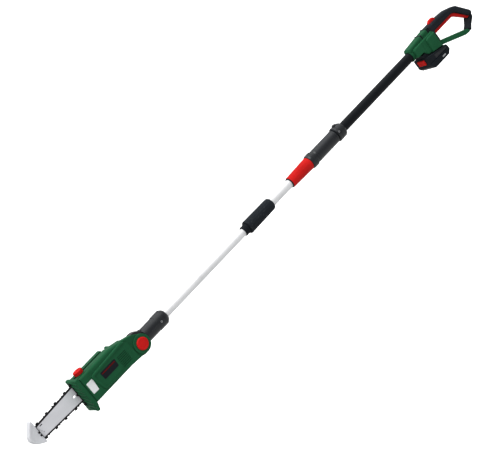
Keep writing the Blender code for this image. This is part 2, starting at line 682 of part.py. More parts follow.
def make_head_shell_left():
    shell = plate("head_shell_left", [head_side(HEAD_BODY_BACK, HEAD_FRONT)], SPLIT, HEAD_SIDE_Y)
    round_rim(shell, HEAD_SIDE_Y, 5 * MM)
    join(shell, *cheek(1))
    hollow = plate("left_hollow", [head_side(HEAD_BACK, HEAD_FRONT - WALL, WALL)], -MM, HEAD_SIDE_Y - WALL)
    cut(shell, hollow)
    bosses = [rod("boss", SPLIT, HEAD_SIDE_Y - MM, SCREW_BOSS_R, (PIVOT_X + x, 0, z), "Y", 16) for x,
              z in HEAD_SCREWS]
    join(shell, *bosses)
    (low, high), (bottom, top) = WINDOW
    window = box("oil_window_hole", (PIVOT_X + low, 28 * MM, bottom), (PIVOT_X + high, 36 * MM, top))
    (low, high), (bottom, top) = VENT
    vent = box("vent_hole", (PIVOT_X + low, 28 * MM, bottom), (PIVOT_X + high, 36 * MM, top))
    groove_top = HEAD_TOP_Z + MM
    groove = box("top_groove", (PIVOT_X + 107 * MM, 19 * MM, HEAD_TOP_Z - 1.5 * MM),
                 (PIVOT_X + 213 * MM, 22 * MM, groove_top))
    recess = rod("button_well", CHEEK_IN_Y + 6 * MM, CHEEK_OUT_Y + MM, BUTTON_R + TURN_FIT,
                 (PIVOT_X, 0, 0), "Y", 40)
    pin = rod("left_pin_hole", CHEEK_IN_Y - MM, CHEEK_OUT_Y, PIN_R + GAP, (PIVOT_X, 0, 0), "Y")
    holes = [rod("pilot", -MM, 12 * MM, SCREW_SHANK_R + GAP, (PIVOT_X + x, 0, z), "Y", 12) for x,
             z in HEAD_SCREWS]
    cut(shell, window, vent, groove, recess, pin, oil_neck_hole("left_neck_hole"), *holes)
    return dress(shell, GREEN, parent=HEAD)


def oil_neck_hole(name):
    x, y = OIL_NECK
    return rod(name, 55 * MM, HEAD_TOP_Z + MM, OIL_NECK_R + GAP, (x, y, 0), "Z")


def make_head_shell_right():
    shell = plate("head_shell_right", [head_side(HEAD_BODY_BACK, HEAD_FRONT)], COVER_SIDE_Y, -SPLIT)
    room = box("cover_room", (PIVOT_X + COVER_BACK, COVER_SIDE_Y - MM, -60 * MM),
               (PIVOT_X + HEAD_FRONT + MM, SHELL_RIGHT_Y, 90 * MM))
    join(cut(shell, room), *cheek(-1))
    hollow = plate("right_hollow", [head_side(HEAD_BACK, HEAD_FRONT - WALL, WALL)], SHELL_RIGHT_Y + WALL,
                   MM)
    deep = plate("rear_hollow", [head_side(HEAD_BACK, COVER_BACK - WALL, WALL)], COVER_SIDE_Y + WALL, MM)
    cut(shell, hollow, deep)
    posts = [rod("boss", COVER_SIDE_Y + MM, -SPLIT, 5 * MM, (PIVOT_X + x, 0, z), "Y", 16) for x,
             z in HEAD_SCREWS]
    pad = box("bar_pad", (PIVOT_X + 170 * MM, BAR_BACK_Y + GAP, 6 * MM),
              (PIVOT_X + 214 * MM, SHELL_RIGHT_Y + MM, 36 * MM))
    join(shell, pad, *posts)
    holes = [rod("shank_hole", -60 * MM, MM, SCREW_SHANK_R + GAP, (PIVOT_X + x, 0, z), "Y", 12) for x,
             z in HEAD_SCREWS]
    wells = [rod("screw_well", -60 * MM, SHELL_RIGHT_Y + WALL, SCREW_HEAD_R + GAP, (PIVOT_X + x, 0, z),
                 "Y", 16)
             for x, z in HEAD_SCREWS]
    spindle = rod("spindle_hole", -20 * MM, -5 * MM, SPINDLE_R + 2 * MM, (SPINDLE_X, 0, BAR_Z), "Y")
    stud = rod("stud_hole", -20 * MM, -5 * MM, STUD_R + GAP, (STUD_X, 0, BAR_Z), "Y")
    pin = rod("right_pin_hole", -CHEEK_OUT_Y - MM, -CHEEK_IN_Y + MM, PIN_R + GAP, (PIVOT_X, 0, 0), "Y")
    well = rod("pin_head_well", -CHEEK_OUT_Y - MM, -CHEEK_OUT_Y + 4.5 * MM, PIN_HEAD_R + GAP,
               (PIVOT_X, 0, 0), "Y")
    cut(shell, spindle, stud, pin, well, oil_neck_hole("right_neck_hole"), *holes, *wells)
    return dress(shell, GREEN, parent=HEAD)


def make_screw(name, x, z, head_y, length, parent=None):
    """A screw along Y whose head faces the saw's right side."""
    profile = [(head_y, 0), (head_y, SCREW_HEAD_R), (head_y + 2.5 * MM, SCREW_HEAD_R)]
    profile += [(head_y + 2.5 * MM, SCREW_SHANK_R), (head_y + length, SCREW_SHANK_R), (head_y + length, 0)]
    return dress(turned(name, profile, (x, 0, z), "Y", 12), STEEL, parent=parent)


def make_sprocket_cover():
    back = COVER_BACK + GAP
    cover = plate("sprocket_cover", [head_side(back, HEAD_FRONT)], COVER_SIDE_Y, SHELL_RIGHT_Y - GAP)
    round_rim(cover, COVER_SIDE_Y, 2 * MM)
    hollow = plate("cover_hollow", [head_side(back + WALL, HEAD_FRONT + MM, WALL)], COVER_SIDE_Y + WALL,
                   SHELL_RIGHT_Y + MM)
    cut(cover, hollow)
    front_y = BAR_Y - BAR_THICK / 2 - GAP
    pad = box("cover_pad", (STUD_X - 15 * MM, COVER_SIDE_Y + MM, BAR_Z - 12 * MM),
              (STUD_X + 15 * MM, front_y, BAR_Z + 12 * MM))
    join(cover, pad)
    hole = rod("cover_stud_hole", COVER_SIDE_Y - MM, SHELL_RIGHT_Y, STUD_R + GAP, (STUD_X, 0, BAR_Z), "Y")
    return dress(cut(cover, hole), GREEN, parent=HEAD)


def make_bumper():
    """The ribbed front plate that rests against the branch, with the slot for the bar and chain."""
    back, front = PIVOT_X + HEAD_FRONT + GAP, PIVOT_X + HEAD_FRONT + GAP + BUMPER_DEPTH
    low, high = BUMPER_BOTTOM_Z, BUMPER_TOP_Z
    corners = [(back, HEAD_BOTTOM_Z - 1 * MM, 0), (front - 6 * MM, low, 2 * MM), (front, low, 2 * MM)]
    corners += [(front, high, 3 * MM), (back + 2 * MM, high, 2 * MM), (back, high - 4 * MM, 0)]
    bumper = plate("bumper", [rounded(corners)], COVER_SIDE_Y, BUMPER_LEFT_Y)
    hollow = box("bumper_hollow", (back - MM, COVER_SIDE_Y + WALL, HEAD_BOTTOM_Z + 3 * MM),
                 (front - WALL, BUMPER_LEFT_Y - WALL, HEAD_TOP_Z - MM))
    cut(bumper, hollow)
    heights = [low + (9 + 15 * k) * MM for k in range(8)]
    ribs = [rod("rib", -6.7 * MM, BUMPER_LEFT_Y - 3 * MM, 2.2 * MM, (front, 0, z), "Y", 10)
            for z in heights]
    join(bumper, *ribs)
    slot_y = (BAR_Y - 5.5 * MM, BAR_Y + 5.5 * MM)
    slot = box("chain_slot", (back - MM, slot_y[0], BAR_Z - 38 * MM),
               (front + 5 * MM, slot_y[1], BAR_Z + 38 * MM))
    return dress(cut(bumper, slot), GREEN, parent=HEAD)


def make_bumper_spikes():
    low = PIVOT_X + HEAD_FRONT + GAP + BUMPER_DEPTH + GAP
    outline = [(low, -26 * MM), (low + 2.5 * MM, -26 * MM)]
    for z in (-15, 20, 55):
        outline += [(low + 2.5 * MM, (z - 5) * MM), (low + 9 * MM, z * MM), (low + 2.5 * MM, (z + 5) * MM)]
    outline += [(low + 2.5 * MM, 62 * MM), (low, 62 * MM)]
    return dress(plate("bumper_spikes", [outline], *SPIKE_PLATE), CHAIN_STEEL, parent=HEAD, smooth=False)


def make_motor_cover():
    """The raised panel on the head's left side, with its cooling slots and the label's recess."""
    low, high = HEAD_SIDE_Y + GAP, HEAD_SIDE_Y + 5.3 * MM
    corners = [head_point(32, -24, 3), head_point(175, -17, 6), head_point(190, 44, 8),
               head_point(52, 52.5, 3)]
    corners += [head_point(34, 38, 4)]
    panel = plate("motor_cover", [rounded(corners)], low, high)
    round_rim(panel, high, 3 * MM)
    (back, front), (bottom, top) = VENT
    slots = []
    for k in range(6):
        z = bottom + (3 + 6.5 * k) * MM
        slots.append(box("slot", (PIVOT_X + back + 2 * MM, low - MM, z),
                         (PIVOT_X + front - 2 * MM, high + MM, z + 2.5 * MM)))
    recess = plate("label_recess", [label_outline(GAP)], high - 1 * MM, high + MM)
    clear = rod("boss_clearance", low - MM, high + MM, CHEEK_R + 1 * MM, (PIVOT_X, 0, 0), "Y", 40)
    return dress(cut(panel, recess, clear, *slots), GREEN, parent=HEAD)


def label_outline(grow=0.0):
    low, high = PIVOT_X + 100 * MM - grow, PIVOT_X + 166 * MM + grow
    bottom, top = 8 * MM - grow, 29 * MM + grow
    return rounded([(low, bottom, 3 * MM), (high, bottom, 3 * MM), (high, top, 3 * MM), (low, top, 3 * MM)])


def make_label_plate():
    high = HEAD_SIDE_Y + 5.3 * MM
    return dress(plate("label_plate", [label_outline()], high - LABEL_RECESS + GAP, high + 0.2 * MM),
                 BLACK, parent=HEAD)


def make_oil_tank():
    """The translucent tank, whose level window fills the hole in the left shell."""
    back, front = PIVOT_X + 164 * MM, PIVOT_X + 213.5 * MM
    right, left = -6 * MM, HEAD_SIDE_Y - WALL - GAP
    bottom, top = -8 * MM, HEAD_TOP_Z - WALL - 2 * MM
    tank = box("oil_tank", (back, right, bottom), (front, left, top))
    soften(tank, 3 * MM, 1)
    (low, high), (under, over) = WINDOW
    window = box("window", (PIVOT_X + low + GAP, left - MM, under + GAP),
                 (PIVOT_X + high - GAP, HEAD_SIDE_Y, over - GAP))
    x, y = OIL_NECK
    neck = rod("neck", top - 3 * MM, HEAD_TOP_Z + 4 * MM, OIL_NECK_R, (x, y, 0), "Z")
    join(tank, window, neck)
    inside = box("tank_hollow", (back + WALL, right + WALL, bottom + WALL),
                 (front - WALL, left - WALL, top - WALL))
    throat = rod("tank_throat", top - 6 * MM, HEAD_TOP_Z + 5 * MM, OIL_NECK_R - 2 * MM, (x, y, 0), "Z")
    return dress(cut(tank, inside, throat), TANK_WHITE, parent=HEAD)


def make_oil_cap():
    x, y = OIL_NECK
    low, high, seat = HEAD_TOP_Z + 2 * GAP, HEAD_TOP_Z + 12.5 * MM, HEAD_TOP_Z + 4 * MM + GAP
    bore = OIL_NECK_R + TURN_FIT
    profile = [(low, bore), (low, 14 * MM), (low + 2 * MM, 15 * MM), (high - 1.5 * MM, 15.5 * MM),
               (high, 14 * MM)]
    profile += [(high, 0), (seat, 0), (seat, bore)]
    return dress(turned("oil_cap", profile, (x, y, 0), "Z"), RED, (x, y, low), HEAD)


# Motor and drive


def make_motor_can():
    low, high = PIVOT_X + MOTOR_BACK, PIVOT_X + MOTOR_FRONT
    inner = MOTOR_R - 2 * MM
    profile = [(low, inner), (low, MOTOR_R), (high, MOTOR_R), (high, 3 * MM), (high - 2.5 * MM, 3 * MM)]
    profile += [(high - 2.5 * MM, inner)]
    return dress(turned("motor_can", profile, (0, MOTOR_Y, BAR_Z)), STEEL, parent=HEAD)


def make_rotor():
    """The armature on its shaft, with the pinion cut on the shaft's end."""
    low, high = PIVOT_X + MOTOR_BACK + 1 * MM, PINION_X + 7 * MM
    core = (PIVOT_X + MOTOR_BACK + 9 * MM, PIVOT_X + MOTOR_FRONT - 9 * MM)
    profile = [(low, 0), (low, SHAFT_R), (core[0], SHAFT_R), (core[0], 15 * MM), (core[1], 15 * MM)]
    profile += [(core[1], SHAFT_R), (high, SHAFT_R), (high, 0)]
    rotor = turned("rotor", profile, (0, MOTOR_Y, BAR_Z), steps=24)
    outline = gear_outline(MOTOR_Y, BAR_Z, PINION_TIP, PINION_ROOT, PINION_TEETH, math.pi, 0.11)
    join(rotor, plate("pinion", [outline], PINION_X, PINION_X + 4.5 * MM, "X"))
    return dress(rotor, STEEL, (PINION_X, MOTOR_Y, BAR_Z), HEAD)


def make_crown_gear():
    """The gear on the spindle: teeth on its face, in mesh with the pinion."""
    centre = (SPINDLE_X, 0, BAR_Z)
    bore = SPINDLE_R + 0.1 * MM
    gear = rod("crown_gear", CROWN_BACK_Y, CROWN_ROOT_Y, 21.8 * MM, centre, "Y", 48, bore)
    start = math.pi * (1 + 1 / CROWN_TEETH)
    teeth = gear_outline(SPINDLE_X, BAR_Z, 21.3 * MM, 15.5 * MM, CROWN_TEETH, start, 0.13)
    join(gear, plate("teeth", [teeth, circle(SPINDLE_X, BAR_Z, bore + MM)], CROWN_ROOT_Y - 0.5 * MM,
                     CROWN_TOP_Y))
    return dress(gear, STEEL, centre, HEAD, smooth=False)


def make_spindle():
    centre = (SPINDLE_X, 0, BAR_Z)
    return dress(rod("spindle", -27 * MM, 26 * MM, SPINDLE_R, centre, "Y"), STEEL, centre, HEAD)


def make_sprocket():
    """The drive sprocket; a tooth points to the head's back."""
    outline = gear_outline(SPINDLE_X, BAR_Z, SPROCKET_R, SPROCKET_R - 4.5 * MM, SPROCKET_TEETH, math.pi)
    bore = circle(SPINDLE_X, BAR_Z, SPINDLE_R + 0.1 * MM)
    gear = plate("drive_sprocket", [outline, bore], BAR_Y - 2 * MM, BAR_Y + 2 * MM)
    return dress(gear, STEEL, (SPINDLE_X, 0, BAR_Z), HEAD, smooth=False)


def make_gear_case():
    centre = (SPINDLE_X, 0, BAR_Z)
    inner, floor = CASE_R - WALL, CASE_BACK_Y + 5 * MM
    profile = [(CASE_BACK_Y, BEARING_R + GAP), (CASE_BACK_Y, CASE_R), (CASE_MOUTH_Y, CASE_R),
               (CASE_MOUTH_Y, inner)]
    profile += [(floor, inner), (floor, BEARING_R + GAP)]
    case = turned("gear_case", profile, centre, "Y", 36)
    shaft = rod("pinion_hole", SPINDLE_X - CASE_R - MM, SPINDLE_X - 15 * MM, 7 * MM, (0, MOTOR_Y, BAR_Z),
                "X", 20)
    return dress(cut(case, shaft), ALUMINIUM, parent=HEAD)


def make_gear_case_lid():
    low = CASE_MOUTH_Y + GAP
    lid = rod("gear_case_lid", low, low + BEARING_THICK, CASE_R, (SPINDLE_X, 0, BAR_Z), "Y", 36,
              BEARING_R + GAP)
    return dress(lid, ALUMINIUM, parent=HEAD)


def make_bearing(name, low):
    ring = rod(name, low, low + BEARING_THICK, BEARING_R, (SPINDLE_X, 0, BAR_Z), "Y", 28,
               SPINDLE_R + PRESS_FIT)
    return dress(ring, STEEL, parent=HEAD)


def make_oil_pump():
    low = (PIVOT_X + 118 * MM, -8 * MM, HEAD_BOTTOM_Z + WALL + GAP)
    high = (PIVOT_X + 152 * MM, 12 * MM, -7 * MM)
    pump = join(box("oil_pump", low, high), rod("outlet", 150 * MM + PIVOT_X, 160 * MM + PIVOT_X, 3 * MM,
                                                (0, 0, -14 * MM)))
    return dress(pump, BLACK, parent=HEAD)


# Bar, chain and nose


def make_guide_bar():
    middle = BAR_Z
    window = rounded([(BUMPER_FRONT_X + x * MM, middle + z * MM, 2.5 * MM) for x,
                      z in ((7, -3), (17, -3), (17, 3), (7, 3))])
    half = STUD_R / MM + 0.4
    corners = ((-14, -half), (8, -half), (8, half), (-14, half))
    slot = rounded([(STUD_X + x * MM, middle + z * MM, STUD_R) for x, z in corners])
    holes = [circle(NOSE_X + x, middle + z, NOSE_SCREW_R + GAP, 12) for x, z in NOSE_SCREWS]
    bar = plate("guide_bar", [bar_outline(), window, slot, *holes], BAR_Y - BAR_THICK / 2,
                BAR_Y + BAR_THICK / 2)
    pocket_half = NOSE_SPROCKET_HALF + GAP
    pocket = rod("nose_pocket", BAR_Y - pocket_half, BAR_Y + pocket_half, BAR_NOSE_R + MM,
                 (NOSE_X, 0, middle), "Y", 40,
                 NOSE_HUB_R - GAP)
    return dress(cut(bar, pocket), BAR_STEEL, parent=HEAD, smooth=False)


def make_nose_sprocket():
    outline = gear_outline(NOSE_X, BAR_Z, BAR_NOSE_R - 0.6 * MM, BAR_NOSE_R - 4 * MM, NOSE_TEETH)
    bore = circle(NOSE_X, BAR_Z, NOSE_HUB_R, 28)
    gear = plate("nose_sprocket", [outline, bore], BAR_Y - NOSE_SPROCKET_HALF, BAR_Y + NOSE_SPROCKET_HALF)
    return dress(gear, STEEL, (NOSE_X, BAR_Y, BAR_Z), HEAD, smooth=False)


def make_chain():
    outlines = [toothed_chain_outline(), chain_outline(0.0)]
    chain = plate("saw_chain", outlines, BAR_Y - CHAIN_THICK / 2, BAR_Y + CHAIN_THICK / 2)
    return dress(chain, CHAIN_STEEL, parent=HEAD, smooth=False)


def guard_outline(inset=0.0, rear=0.0):
    """The nose guard's side outline: a flat back, a straight upper front and a round lower front."""
    i = inset
    corners = [(-rear, -30.5 * MM + i), (5 * MM, -31 * MM + i), (29 * MM - i, -17 * MM), (39.5 * MM - i, 0)]
    corners += [(35.5 * MM - i, 15 * MM), (6 * MM, 46.5 * MM - i * 1.3), (-rear, 45.5 * MM - i * 1.3)]
    radii = [0, 4 * MM, 20 * MM, 16 * MM, 12 * MM, 4 * MM, 0]
    return rounded([(GUARD_REAR_X + x, BAR_Z + z, r) for (x, z), r in zip(corners, radii)])


def make_nose_guard():
    low, high = GUARD_SIDES
    guard = plate("nose_guard", [guard_outline()], low, high)
    round_rim(guard, high, 1.5 * MM)
    hollow = plate("guard_hollow", [guard_outline(WALL, 2 * MM)], low + WALL, high - WALL)
    cut(guard, hollow)
    bosses, holes = [], []
    for x, z in NOSE_SCREWS:
        place = (NOSE_X + x, 0, BAR_Z + z)
        bosses.append(rod("boss", low + MM, BAR_Y - BAR_THICK / 2 - GAP, 3.1 * MM, place, "Y", 16))
        bosses.append(rod("boss", BAR_BACK_Y + GAP, high - MM, 3.1 * MM, place, "Y", 16))
        holes.append(rod("guard_screw_hole", low - MM, high + MM, NOSE_SCREW_R + GAP, place, "Y", 12))
    return dress(cut(join(guard, *bosses), *holes), GUARD_GREY, parent=HEAD)


def make_guard_screw(name, x, z):
    low, high = GUARD_SIDES
    face = high + GAP
    profile = [(low + MM, 0), (low + MM, NOSE_SCREW_R), (face, NOSE_SCREW_R)]
    profile += [(face, NOSE_SCREW_HEAD_R), (face + 1.5 * MM, NOSE_SCREW_HEAD_R)]
    profile += [(face + 1.5 * MM, 0)]
    return dress(turned(name, profile, (NOSE_X + x, 0, BAR_Z + z), "Y", 12), CHAIN_STEEL, parent=HEAD)


def make_bar_stud():
    head = SHELL_RIGHT_Y + WALL + GAP
    profile = [(-43 * MM, 0), (-43 * MM, STUD_R), (head, STUD_R), (head, 7 * MM), (head + 2.8 * MM, 7 * MM)]
    profile += [(head + 2.8 * MM, 0)]
    return dress(turned("bar_stud", profile, (STUD_X, 0, BAR_Z), "Y", 20), STEEL, parent=HEAD)


def make_clamp_knob():
    high, low = COVER_SIDE_Y - GAP, COVER_SIDE_Y - 12 * MM
    bore = STUD_R + PRESS_FIT
    profile = [(low, 0), (low, KNOB_R - 2 * MM), (low + 2 * MM, KNOB_R), (high, KNOB_R), (high, bore),
               (low + 2.5 * MM, bore)]
    profile += [(low + 2.5 * MM, 0)]
    return dress(turned("clamp_knob", profile, (STUD_X, 0, BAR_Z), "Y"), BLACK, (STUD_X, high, BAR_Z), HEAD)


# The tilt joint


def make_pivot_pin():
    low, step = -CHEEK_OUT_Y + 1 * MM, -CHEEK_OUT_Y + 4.2 * MM
    high = CHEEK_IN_Y + 5.5 * MM
    profile = [(low, 0), (low, 11 * MM), (step, 11 * MM), (step, PIN_R), (high, PIN_R), (high, 0)]
    return dress(turned("pivot_pin", profile, (PIVOT_X, 0, 0), "Y"), STEEL, parent=HEAD)


def make_pivot_spring():
    low = CHEEK_IN_Y + 6 * MM + GAP
    ring = rod("pivot_spring", low, low + 7 * MM, 9 * MM, (PIVOT_X, 0, 0), "Y", 20, 7 * MM)
    return dress(ring, STEEL, parent=HEAD)


def make_pivot_button():
    low, high = CHEEK_IN_Y + 13.6 * MM, CHEEK_OUT_Y + BUTTON_TRAVEL + 1 * MM
    profile = [(low, 0), (low, BUTTON_R), (high - 2.5 * MM, BUTTON_R), (high - 0.8 * MM, BUTTON_R - 1 * MM)]
    profile += [(high, BUTTON_R - 3.5 * MM), (high, 0)]
    return dress(turned("pivot_button", profile, (PIVOT_X, 0, 0), "Y", 40), RED, (PIVOT_X, high, 0), HEAD)


# The handle


def handle_point(x, z, radius=0.0):
    """An outline corner given back from the handle's front, in millimetres."""
    return (HANDLE_X - x * MM, z * MM, radius * MM)


def handle_outline(*corners):
    return rounded([handle_point(*corner) for corner in corners])


GRIP_SEAM = 95  # from the handle's front to the grip, in millimetres like the outlines below
GRIP_OUTER = [(GRIP_SEAM + 0.3, 31.5), (154, 31, 0), (197, 27.5, 60), (238, 15, 30), (283, -38, 10),
              (236, -86.3)]
GRIP_INNER = [(228, -72.6), (264, -47.5, 4), (227, -5, 12), (211, 4, 10), (114, 4, 4), (114, -33.4),
              (GRIP_SEAM + 0.3, -26.6)]
GRIP_HOLLOW = [(98.5, 28), (154, 27.5), (196, 24, 60), (236, 12, 28), (278, -36, 5), (276, -41, 4),
               (245, -71, 3), (242, -67.5)]
GRIP_HOLLOW += [(268, -47, 3), (230, -2, 12), (213, 8, 10), (110.5, 8), (110.5, -29), (98.5, -25)]
SPINE = [(GRIP_SEAM, 9), (GRIP_SEAM, 31.5), (40, 28.5), (-12, 24.5), (-16, 19), (-16, 9)]
FRONT_BODY = [(GRIP_SEAM - 1, -39), (GRIP_SEAM - 1, 17), (0, 15), (-7, 10), (-7, -16), (20, -16.5),
              (34, -33.5)]
REAR_BODY = [(GRIP_SEAM, -44), (GRIP_SEAM, 12.5), (58, 12), (52, 8), (49, -36.5)]
STRUT = [(90, -25.5), (GRIP_SEAM, -27.2), (227.7, -73.3), (235.7, -86.4, 4), (210, -84.5, 5),
         (119, -51.6, 20), (90, -42)]
BODY_HOLLOW = [(92, -60), (92, 13), (0, 11), (-3, 8), (-3, -12), (18, -12.5), (30, -31), (30, -60)]
SPINE_HOLLOW = [(92, 0), (92, 28), (40, 25), (20, 23), (20, 0)]
STRUT_HOLLOW = [(90, -29.5), (222, -75.5), (212, -81.5), (119, -48.6), (90, -40)]
CHANNEL = [(20, -17), (89, -17), (89, -60), (20, -60)]
TRIGGER_OUTLINE = [(117.5, 11, 2), (165, 11, 20), (205, 9, 10), (226, -4, 10), (264, -45, 2), (258, -50, 2)]
TRIGGER_OUTLINE += [(219, -14, 14), (207, -7, 8), (117.5, -7, 4)]
TRIGGER_PIVOT = (-HANDLE_X + 259.5 * MM, -45 * MM)
TRIGGER_SLOT = [(116.5, -12), (116.5, 22), (190, 22), (232, 5), (272, -44), (268, -54), (225, -20)]


def make_handle_shell_left():
    spine = plate("spine", [handle_outline(*SPINE)], SPLIT, SPINE_HALF_WIDTH)
    front = plate("handle_shell_left", [handle_outline(*FRONT_BODY)], SPLIT, BODY_HALF_WIDTH)
    rear = plate("rear_body", [handle_outline(*REAR_BODY)], SPLIT, FOOT_HALF_WIDTH)
    strut = plate("strut", [handle_outline(*STRUT)], SPLIT, STRUT_HALF_WIDTH)
    round_rim(spine, SPINE_HALF_WIDTH, 6 * MM, 3)
    round_rim(front, BODY_HALF_WIDTH, 4 * MM)
    round_rim(rear, FOOT_HALF_WIDTH, 4 * MM)
    round_rim(strut, STRUT_HALF_WIDTH, 3 * MM)
    join(front, rear, strut, spine)
    hollows = [
        plate("body_hollow", [handle_outline(*BODY_HOLLOW)], -MM, BODY_HALF_WIDTH - WALL),
        plate("spine_hollow", [handle_outline(*SPINE_HOLLOW)], -MM, SPINE_HALF_WIDTH - WALL),
        plate("strut_hollow", [handle_outline(*STRUT_HOLLOW)], -MM, STRUT_HALF_WIDTH - WALL),
        plate("rail_channel", [handle_outline(*CHANNEL)], -MM, RAIL_HALF_WIDTH + MM),
    ]
    cut(front, *hollows)
    seat = rod("tube_seat", HANDLE_X - HANDLE_TUBE_SEATED - 4 * MM, HANDLE_X + 17 * MM,
               HANDLE_TUBE_R + 3 * MM, (0, 0, 0))
    half = box("seat_half", (HANDLE_X - 60 * MM, SPLIT, -30 * MM), (HANDLE_X + 20 * MM, 40 * MM, 30 * MM))
    seat.modifiers.new("Half", "BOOLEAN").object = half
    seat.modifiers["Half"].operation = "INTERSECT"
    apply_modifiers(seat)
    bpy.data.objects.remove(half)
    posts = [rod("boss", SPLIT, depth, SCREW_BOSS_R, (HANDLE_X - x, 0, z), "Y", 16) for (x, z),
             depth in handle_posts()]
    join(front, seat, *posts)
    bore = rod("tube_bore", HANDLE_X - HANDLE_TUBE_SEATED - GAP, HANDLE_X + 20 * MM, HANDLE_TUBE_R + GAP,
               (0, 0, 0))
    wire = rod("wire_hole", HANDLE_X - HANDLE_TUBE_SEATED - 6 * MM, HANDLE_X, 8 * MM, (0, 0, 0))
    holes = [rod("pilot", -40 * MM, 8 * MM, SCREW_SHANK_R + GAP, (HANDLE_X - x, 0, z), "Y", 12) for x,
             z in HANDLE_SCREWS]
    cut(front, bore, wire, *holes)
    return dress(front, GREEN)


def handle_posts():
    """Each handle screw's place with the outer end of its boss."""
    return [(HANDLE_SCREWS[0], SPINE_HALF_WIDTH - MM), (HANDLE_SCREWS[1], STRUT_HALF_WIDTH - MM)]


def make_handle_shell_right(left):
    shell = mirrored(left, "handle_shell_right")
    wells = []
    for (x, z), depth in handle_posts():
        place = (HANDLE_X - x, 0, z)
        wells.append(rod("screw_well", -40 * MM, -depth + 2.5 * MM, SCREW_HEAD_R + GAP, place, "Y", 16))
        wells.append(rod("shank_hole", -depth, MM, SCREW_SHANK_R + GAP, place, "Y", 12))
    cut(shell, *wells)
    return dress(shell, GREEN)


def make_rear_grip_left():
    low = SPLIT
    grip = plate("rear_grip_left", [handle_outline(*GRIP_OUTER, *GRIP_INNER)], low, GRIP_HALF_WIDTH)
    round_rim(grip, GRIP_HALF_WIDTH, 7 * MM, 3)
    hollow = plate("grip_hollow", [handle_outline(*GRIP_HOLLOW)], -MM, GRIP_HALF_WIDTH - 3 * MM)
    slot = plate("trigger_slot", [handle_outline(*TRIGGER_SLOT)], -MM, TRIGGER_HALF_WIDTH + 0.8 * MM)
    near, far = LOCK_OFF_SPAN
    lock = box("lock_off_slot", (HANDLE_X - far - LOCK_OFF_PLAY, -MM, 20 * MM),
               (HANDLE_X - near + LOCK_OFF_PLAY, LOCK_OFF_HALF_WIDTH + 0.5 * MM, 36 * MM))
    x, z = TRIGGER_PIVOT
    pin = rod("trunnion_hole", -MM, 12 * MM, TRUNNION_R + TURN_FIT, (-x, 0, z), "Y", 16)
    return dress(cut(grip, hollow, pin, slot, lock), SOFT)


def make_trigger():
    trigger = plate("trigger", [handle_outline(*TRIGGER_OUTLINE)], -TRIGGER_HALF_WIDTH, TRIGGER_HALF_WIDTH)
    x, z = TRIGGER_PIVOT
    trunnion = rod("trunnion", -11 * MM, 11 * MM, TRUNNION_R, (-x, 0, z), "Y", 16)
    return dress(join(trigger, trunnion), RED, (-x, 0, z))


def make_lock_off_button():
    near, far = LOCK_OFF_SPAN
    corners = [(far / MM, 25.5), (near / MM, 25.5), (near / MM, 34, 2), (near / MM + 10, 40.5, 3),
               (far / MM - 6, 40.5, 3)]
    corners += [(far / MM, 34, 2)]
    button = plate("lock_off_button", [handle_outline(*corners)], -LOCK_OFF_HALF_WIDTH, LOCK_OFF_HALF_WIDTH)
    return dress(button, RED, (HANDLE_X - (near + far) / 2, 0, 31 * MM))


def make_switch_block():
    block = box("switch_block", (HANDLE_X - 109.5 * MM, -9 * MM, -18 * MM),
                (HANDLE_X - 99.5 * MM, 9 * MM, 24 * MM))
    return dress(soften(block, MM, 1), BLACK, smooth=False)


def make_control_board():
    board = box("control_board", (HANDLE_X - 90 * MM, -20 * MM, -7 * MM),
                (HANDLE_X - 50 * MM, 20 * MM, -5 * MM))
    parts = [box("chip", (HANDLE_X - 84 * MM, -14 * MM, -5.5 * MM), (HANDLE_X - 66 * MM, 12 * MM, 4 * MM)),
             box("coil", (HANDLE_X - 62 * MM, -12 * MM, -5.5 * MM), (HANDLE_X - 54 * MM, -2 * MM, 3 * MM))]
    return dress(join(board, *parts), BOARD, smooth=False)


# The battery


BATTERY_FRONT = 9.0  # back from the handle's front, in millimetres
BATTERY_REAR = 106.0
CASE_SPLIT_Z = -57.0
CASE_UPPER = [(BATTERY_FRONT, CASE_SPLIT_Z), (BATTERY_FRONT, -32, 2), (20, -32.8), (104, -47.5, 2),
              (BATTERY_REAR, CASE_SPLIT_Z)]
CASE_LOWER = [(BATTERY_REAR, CASE_SPLIT_Z - 0.3), (BATTERY_REAR, -66, 3), (92, -78, 5), (20, -78, 4),
              (BATTERY_FRONT, -67, 2)]
CASE_LOWER += [(BATTERY_FRONT, CASE_SPLIT_Z - 0.3)]


def cell_places():
    step = 2 * CELL_R + 0.2 * MM
    first = HANDLE_X - (BATTERY_FRONT + BATTERY_REAR) / 2 * MM - step * (CELLS - 1) / 2
    return [first + k * step for k in range(CELLS)]


def make_battery_case_upper():
    half = BATTERY_HALF_WIDTH
    case = plate("battery_case_upper", [handle_outline(*CASE_UPPER)], -half, half)
    round_rim(case, half, 3 * MM)
    round_rim(case, -half, 3 * MM)
    rail = box("rail", (HANDLE_X - 75 * MM, -RAIL_HALF_WIDTH, -42 * MM),
               (HANDLE_X - 12 * MM, RAIL_HALF_WIDTH, -20 * MM))
    join(case, soften(rail, 2 * MM, 1))
    tray = box("upper_tray", (HANDLE_X - (BATTERY_REAR - 2.2) * MM, -half + WALL, (CASE_SPLIT_Z - 1) * MM),
               (HANDLE_X - (BATTERY_FRONT + 2.2) * MM, half - WALL, -51 * MM))
    well = box("latch_well", (HANDLE_X - (BATTERY_FRONT + 7) * MM, -LATCH_HALF_WIDTH - 0.5 * MM, -50 * MM),
               (HANDLE_X, LATCH_HALF_WIDTH + 0.5 * MM, -36 * MM))
    slots = [box("contact_slot", (HANDLE_X - 80 * MM, y - 1.5 * MM, -31 * MM),
                 (HANDLE_X - 60 * MM, y + 1.5 * MM, -23 * MM))
             for y in CONTACTS_Y]
    return dress(cut(case, tray, well, *slots), BLACK)


